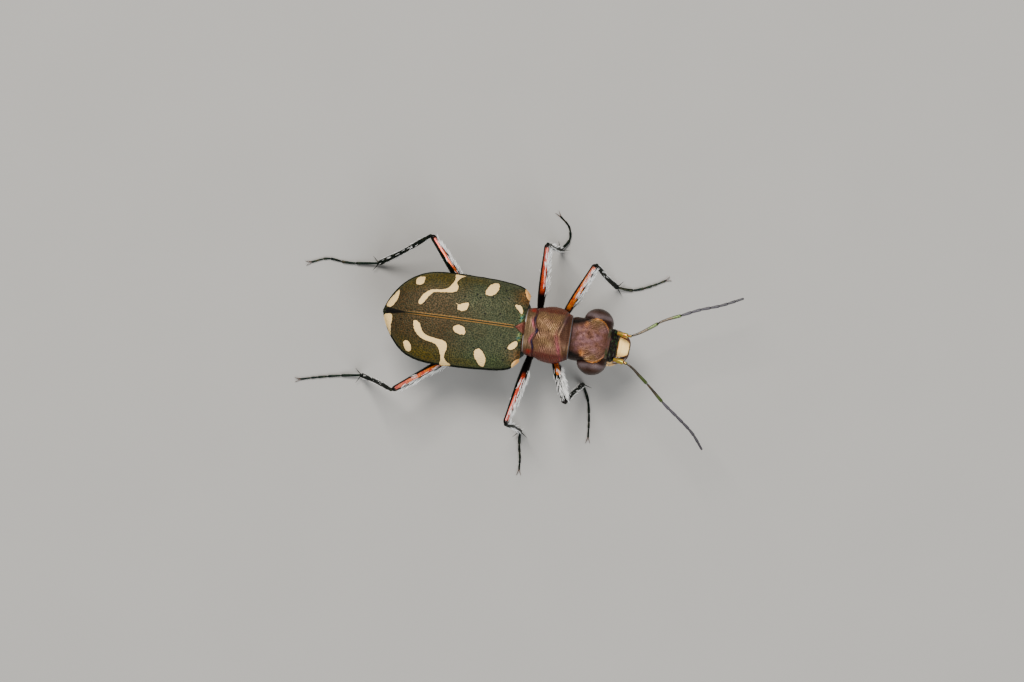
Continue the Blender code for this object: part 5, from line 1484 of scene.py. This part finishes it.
def build_coxa(leg, material):
    """Coxa: an ellipsoid set in the thorax, with the root joint as a bent tube from it to the thigh."""
    pair, side = leg.split("_")
    sign = 1.0 if side == "left" else -1.0
    centre, radii = COXAE[pair]
    hip = np.array(LEGS[leg][0])
    knee = np.array(LEGS[leg][1])
    turn = np.linspace(0.0, 2.0 * np.pi, 48, endpoint=False)[None]
    rise = np.linspace(0.03, np.pi - 0.03, 40)[:, None]
    ball = np.stack([np.sin(rise) * np.cos(turn), np.sin(rise) * np.sin(turn),
                     np.cos(rise) * np.ones_like(turn)], axis=-1)
    outer = np.array((centre[0], sign * centre[1], centre[2])) + ball * np.array(radii)
    axis = unit(knee - hip)
    start = np.array((centre[0] * 0.55 + hip[0] * 0.45, sign * centre[1] * 0.55 + hip[1] * 0.45,
                      centre[2] - 0.08))
    s = end_spaced(36)
    path = curve_through((start, (start + hip) / 2.0 - np.array((0.0, 0.0, 0.07)), hip + axis * 0.12,
                          hip + axis * 0.42 - np.array((0.0, 0.0, 0.07))), s)
    radius = through(s, ROOT_JOINT_RADIUS) * round_ends(s, 0.12, 0.22)
    joint, _ = sweep(path, radius, radius * 0.9, (0.0, 0.0, 1.0), 32)
    add_piece("hip_" + leg, joined([closed_form(outer), closed_form(joint)]), material, ["coxa_" + leg])


def build_leg_bristles(leg, thigh, shank, sizes, material, rng):
    """White bristles in tufts of three. On the thigh: a band on top, four rows from the upper front to
    the underside and a few behind, all leaning to the knee, with a denser net over the whole top of the
    right fore thigh. On the shank: both sides, underside and upper side, and a fringe pointing outward
    along the floor on the middle legs."""
    parts = []
    down = np.array((0.0, 0.0, -1.0))
    rise = -down

    def add(limb, count, low, high, face, spread, lean, length, offset):
        """count bristles between two shares of a limb, round the direction face, each direction being
        aim * (1 - lean) + axis * lean with a random sway."""
        grid, path, _, share = limb
        tufts = count // 3
        count = tufts * 3
        at = np.repeat(rng.uniform(low, high, tufts), 3) + rng.normal(0.0, 0.006, count)
        row = np.clip(np.searchsorted(share, at), 1, len(path) - 2)
        axis = unit(path[row + 1] - path[row - 1])
        aim = face + np.repeat(rng.normal(0.0, spread, (tufts, 3)), 3, axis=0)
        aim = unit(aim - axis * np.sum(aim * axis, axis=1, keepdims=True))
        around = unit(grid[row] - path[row][:, None])
        column = np.argmax(np.einsum("nkc,nc->nk", around, aim), axis=1)
        sway = np.repeat(rng.normal(0.0, 0.07, (tufts, 3)), 3, axis=0) + rng.normal(0.0, 0.035, (count, 3))
        parts.append((
            grid[row, column] - aim * 0.006,
            unit(aim * (1.0 - lean) + axis * lean + sway),
            length * rng.uniform(0.6, 1.15, count) * (1.0 - 0.35 * smoothstep(0.72, 0.95, at)),
            axis * 0.25 + down * 0.05 + rng.normal(0.0, 0.05, (count, 3)),
            offset + at * 0.40,
            column / grid.shape[1],
        ))

    fore = thigh[2]
    hairy = 0.35 if leg.startswith("hind") else 1.0
    add(thigh, int(96 * hairy), 0.34, 0.92, fore * 0.35 + rise, 0.30, 0.91, 0.34, 0.02)
    if leg == "front_right":
        add(thigh, 96, 0.30, 0.93, rise, 0.45, 0.86, 0.34, 0.02)
    add(thigh, 72, 0.22, 0.88, fore + rise * 0.7, 0.20, 0.86, 0.36, 0.02)
    add(thigh, 126, 0.18, 0.90, fore, 0.16, 0.74, 0.38, 0.02)
    add(thigh, 72, 0.20, 0.90, fore * 0.8 - rise * 0.5, 0.16, 0.64, 0.34, 0.02)
    add(thigh, 45, 0.14, 0.90, fore * 0.3 - rise, 0.22, 0.60, 0.28, 0.02)
    add(thigh, 6, 0.30, 0.85, -fore - rise * 0.5, 0.3, 0.60, 0.12, 0.02)
    path = shank[1]
    aside = unit(np.cross(path[-1] - path[0], rise))
    aside = aside if aside @ fore > 0.0 else -aside
    reach = np.linalg.norm(path[-1] - path[0])
    for sign in (1.0, -1.0):
        add(shank, int(21 * reach), 0.06, 0.95, aside * sign, 0.14, 0.84, 0.26, 0.52)
    add(shank, int(9 * reach), 0.15, 0.95, -rise, 0.30, 0.70, 0.20, 0.52)
    add(shank, int(9 * reach), 0.20, 0.95, rise, 0.40, 0.90, 0.22, 0.52)
    if leg.startswith("mid"):
        run = unit((path[-1] - path[0]) * (1.0, 1.0, 0.0))
        for sign in (1.0, -1.0):
            add(shank, int(10 * reach), 0.10, 0.95, run + aside * sign * 0.8, 0.10, 0.40, 0.26, 0.52)
    roots, aims, lengths, bends, us, vs = (np.concatenate(column) for column in zip(*parts))
    form, patches = hair_form(roots, aims, lengths, sizes.bristle_width, bends, us, vs)
    add_piece("bristles_" + leg, form, material, sharp=180.0, patches=patches)


def build_body_down(name, grid, chosen, count, length, material, sizes, rng):
    """White hairs lying back on a part of the body, chosen by a weight for each grid point."""
    rows, cols = grid.shape[:2]
    weight = np.broadcast_to(chosen, (rows, cols)).ravel()
    pick = rng.choice(rows * cols, count, p=weight / weight.sum())
    root = grid.reshape(-1, 3)[pick]
    normal = outer_normals(grid).reshape(-1, 3)[pick]
    back = np.array((-1.0, 0.0, -0.25))
    lie = unit(back - normal * (normal @ back)[:, None])
    aim = unit(lie * 0.9 + normal * 0.32 + rng.normal(0.0, 0.14, (count, 3)))
    bend = -normal * 0.22 + rng.normal(0.0, 0.06, (count, 3))
    lengths = length * rng.uniform(0.7, 1.2, count)
    form, patches = hair_form(root - normal * 0.006, aim, lengths, sizes.bristle_width * 0.85, bend,
                              0.02 + 0.96 * (pick // cols) / rows, 0.02 + 0.96 * (pick % cols) / cols)
    add_piece(name, form, material, sharp=180.0, patches=patches)


# Operators and panel


FINISHES = {}
# Half the floor's side in metres, and the lamps: name, place in metres, side, share of power, colour.
FLOOR_HALF = 0.6
LAMPS = (
    ("key_lamp", (-0.10, 0.15, 0.32), 0.16, 1.0, (1.0, 0.97, 0.93)),
    ("fill_lamp", (0.16, -0.20, 0.26), 0.20, 0.62, (0.96, 0.98, 1.0)),
)
SENSOR_WIDTH = 36.0


def shared_finish(key, make):
    """A finish made on first use."""
    if key not in FINISHES:
        FINISHES[key] = make()
    return FINISHES[key]


class BEETLE_OT_stage(bpy.types.Operator):
    """Add the pale floor, the soft lamps and the camera"""

    bl_idname = "beetle.stage"
    bl_label = "Build Stage"

    def execute(self, context):
        stage = context.scene.beetle_stage
        mesh = bpy.data.meshes.new("floor")
        half = FLOOR_HALF
        corners = [(-half, -half, 0.0), (half, -half, 0.0), (half, half, 0.0), (-half, half, 0.0)]
        mesh.from_pydata(corners, [], [(0, 1, 2, 3)])
        n = Nodes("floor_card", roughness=0.85, specular=0.2)
        card = n.mix(n.noise(6.0, 3.0), n.shade(stage.floor_colour, 0.97), n.shade(stage.floor_colour, 1.03))
        mesh.materials.append(n.finish(card, n.bump(n.noise(0.4, 2.0), 0.01)))
        floor = bpy.data.objects.new("floor", mesh)
        context.scene.collection.objects.link(floor)
        world = bpy.data.worlds.new("soft_sky")
        world.use_nodes = True
        background = world.node_tree.nodes["Background"]
        background.inputs["Color"].default_value = (0.92, 0.96, 1.0, 1.0)
        background.inputs["Strength"].default_value = stage.sky
        context.scene.world = world
        for name, spot, size, share, tint in LAMPS:
            lamp = bpy.data.lights.new(name, "AREA")
            lamp.size = size
            lamp.energy = stage.key_power * share
            lamp.color = tint
            holder = bpy.data.objects.new(name, lamp)
            holder.location = spot
            aim = Vector((0.0, 0.0, 0.002)) - Vector(spot)
            holder.rotation_euler = aim.to_track_quat("-Z", "Y").to_euler()
            context.scene.collection.objects.link(holder)
        self.add_camera(context, stage)
        return {"FINISHED"}

    def add_camera(self, context, stage):
        """Camera whose right is X turned by the view's turn, tilted from straight down."""
        turn, rise = VIEW_TURN, VIEW_RISE
        right = Vector((math.cos(turn), math.sin(turn), 0.0))
        back = Vector((math.sin(turn) * math.cos(rise), -math.cos(turn) * math.cos(rise), math.sin(rise)))
        up = back.cross(right)
        camera = bpy.data.cameras.new("camera")
        camera.sensor_width = SENSOR_WIDTH
        camera.lens = camera.sensor_width * stage.camera_distance / PHOTO_WIDTH_MM
        camera.clip_start = 0.01
        camera.clip_end = 10.0
        holder = bpy.data.objects.new("camera", camera)
        target = Vector(place(VIEW_TARGET))
        turnings = Matrix((right, up, back)).transposed().to_4x4()
        holder.matrix_world = Matrix.Translation(target + back * stage.camera_distance * MM) @ turnings
        context.scene.collection.objects.link(holder)
        context.scene.camera = holder


class BEETLE_OT_wing_cases(bpy.types.Operator):
    """Build both wing cases and the small shield between them"""

    bl_idname = "beetle.wing_cases"
    bl_label = "Build Wing Cases"

    def execute(self, context):
        colours = context.scene.beetle_colours
        material = shared_finish("wing", lambda: wing_finish(colours))
        for side, sign in SIDES:
            build_wing_case(side, sign, context.scene.beetle_sizes, material)
        build_scutellum(shared_finish("copper", lambda: copper_finish(colours)))
        return {"FINISHED"}


class BEETLE_OT_hind_body(bpy.types.Operator):
    """Build the hind body and the middle and hind thorax with their white hairs"""

    bl_idname = "beetle.hind_body"
    bl_label = "Build Hind Body"

    def execute(self, context):
        colours = context.scene.beetle_colours
        sizes = context.scene.beetle_sizes
        material = shared_finish("underside", underside_finish)
        white = shared_finish("white", lambda: bristle_finish(colours))
        rng = np.random.default_rng(SEED)
        hind = build_hind_body(material)
        low = smoothstep(3.0, 2.6, hind[..., 2]) * smoothstep(0.7, 1.3, np.abs(hind[..., 1]))
        build_body_down("down_hind_body", hind, low, 1500, 0.26, white, sizes, rng)
        block = build_thorax_block(material)
        low = smoothstep(3.0, 2.7, block[..., 2]) * smoothstep(0.6, 1.0, np.abs(block[..., 1]))
        low = low * smoothstep(0.05, -0.25, block[..., 0])
        build_body_down("down_thorax", block, low, 1700, 0.30, white, sizes, rng)
        return {"FINISHED"}


class BEETLE_OT_fore_body(bpy.types.Operator):
    """Build the fore thorax, the head and the eyes"""

    bl_idname = "beetle.fore_body"
    bl_label = "Build Fore Body"

    def execute(self, context):
        colours = context.scene.beetle_colours
        sizes = context.scene.beetle_sizes
        white = shared_finish("white", lambda: bristle_finish(colours))
        rng = np.random.default_rng(SEED + 1)
        grid = build_pronotum(sizes, shared_finish("copper", lambda: copper_finish(colours)))
        low = smoothstep(2.85, 2.5, grid[..., 2]) * smoothstep(1.9, 2.2, grid[..., 2])
        low = low * (np.abs(grid[..., 1]) > 0.5)
        build_body_down("down_fore_thorax", grid, low, 600, 0.20, white, sizes, rng)
        build_head(sizes, shared_finish("head", lambda: head_finish(colours)))
        build_eyes(shared_finish("eye", eye_finish))
        return {"FINISHED"}


class BEETLE_OT_mouth(bpy.types.Operator):
    """Build the upper lip, jaws, mouth feelers and lower lip"""

    bl_idname = "beetle.mouth"
    bl_label = "Build Mouth"

    def execute(self, context):
        jaw = shared_finish("jaw", jaw_finish)
        build_upper_lip(shared_finish("lip", lip_finish))
        build_jaws(jaw)
        build_mouth_feelers(jaw)
        return {"FINISHED"}


class BEETLE_OT_feelers(bpy.types.Operator):
    """Build the two feelers"""

    bl_idname = "beetle.feelers"
    bl_label = "Build Feelers"

    def execute(self, context):
        build_feelers(shared_finish("feeler", feeler_finish))
        return {"FINISHED"}


class BEETLE_OT_legs(bpy.types.Operator):
    """Build the six legs with their claws and bristles"""

    bl_idname = "beetle.legs"
    bl_label = "Build Legs"

    def execute(self, context):
        colours = context.scene.beetle_colours
        sizes = context.scene.beetle_sizes
        thigh_metal = shared_finish("thigh", lambda: leg_finish("thigh_cuticle", colours, True))
        dark = shared_finish("shank", lambda: leg_finish("shank_cuticle", colours, False))
        horn = shared_finish("jaw", jaw_finish)
        white = shared_finish("white", lambda: bristle_finish(colours))
        rng = np.random.default_rng(SEED + 2)
        for leg in LEGS:
            build_coxa(leg, dark)
            thigh = build_thigh(leg, thigh_metal)
            shank = build_shank(leg, dark)
            build_foot(leg, dark, horn)
            build_leg_bristles(leg, thigh, shank, sizes, white, rng)
        return {"FINISHED"}


class BEETLE_PT_panel(bpy.types.Panel):
    """Sidebar panel with the model's settings and steps"""

    bl_label = "Tiger Beetle"
    bl_idname = "BEETLE_PT_panel"
    bl_space_type = "VIEW_3D"
    bl_region_type = "UI"
    bl_category = "Beetle"

    def draw(self, context):
        for group in (context.scene.beetle_sizes, context.scene.beetle_colours, context.scene.beetle_stage):
            box = self.layout.box()
            for key in group.__annotations__:
                box.prop(group, key)
        for operator in OPERATORS:
            self.layout.operator(operator.bl_idname)


GROUPS = (BeetleSizes, BeetleColours, StageSettings)
OPERATORS = (BEETLE_OT_stage, BEETLE_OT_wing_cases, BEETLE_OT_hind_body, BEETLE_OT_fore_body, BEETLE_OT_mouth,
             BEETLE_OT_feelers, BEETLE_OT_legs)


def register():
    for cls in (*GROUPS, *OPERATORS, BEETLE_PT_panel):
        bpy.utils.register_class(cls)
    bpy.types.Scene.beetle_sizes = PointerProperty(type=BeetleSizes)
    bpy.types.Scene.beetle_colours = PointerProperty(type=BeetleColours)
    bpy.types.Scene.beetle_stage = PointerProperty(type=StageSettings)


def unregister():
    del bpy.types.Scene.beetle_sizes
    del bpy.types.Scene.beetle_colours
    del bpy.types.Scene.beetle_stage
    for cls in reversed((*GROUPS, *OPERATORS, BEETLE_PT_panel)):
        bpy.utils.unregister_class(cls)


def main():
    register()
    bpy.ops.beetle.stage()
    bpy.ops.beetle.wing_cases()
    bpy.ops.beetle.hind_body()
    bpy.ops.beetle.fore_body()
    bpy.ops.beetle.mouth()
    bpy.ops.beetle.feelers()
    bpy.ops.beetle.legs()


if __name__ == "__main__":
    main()
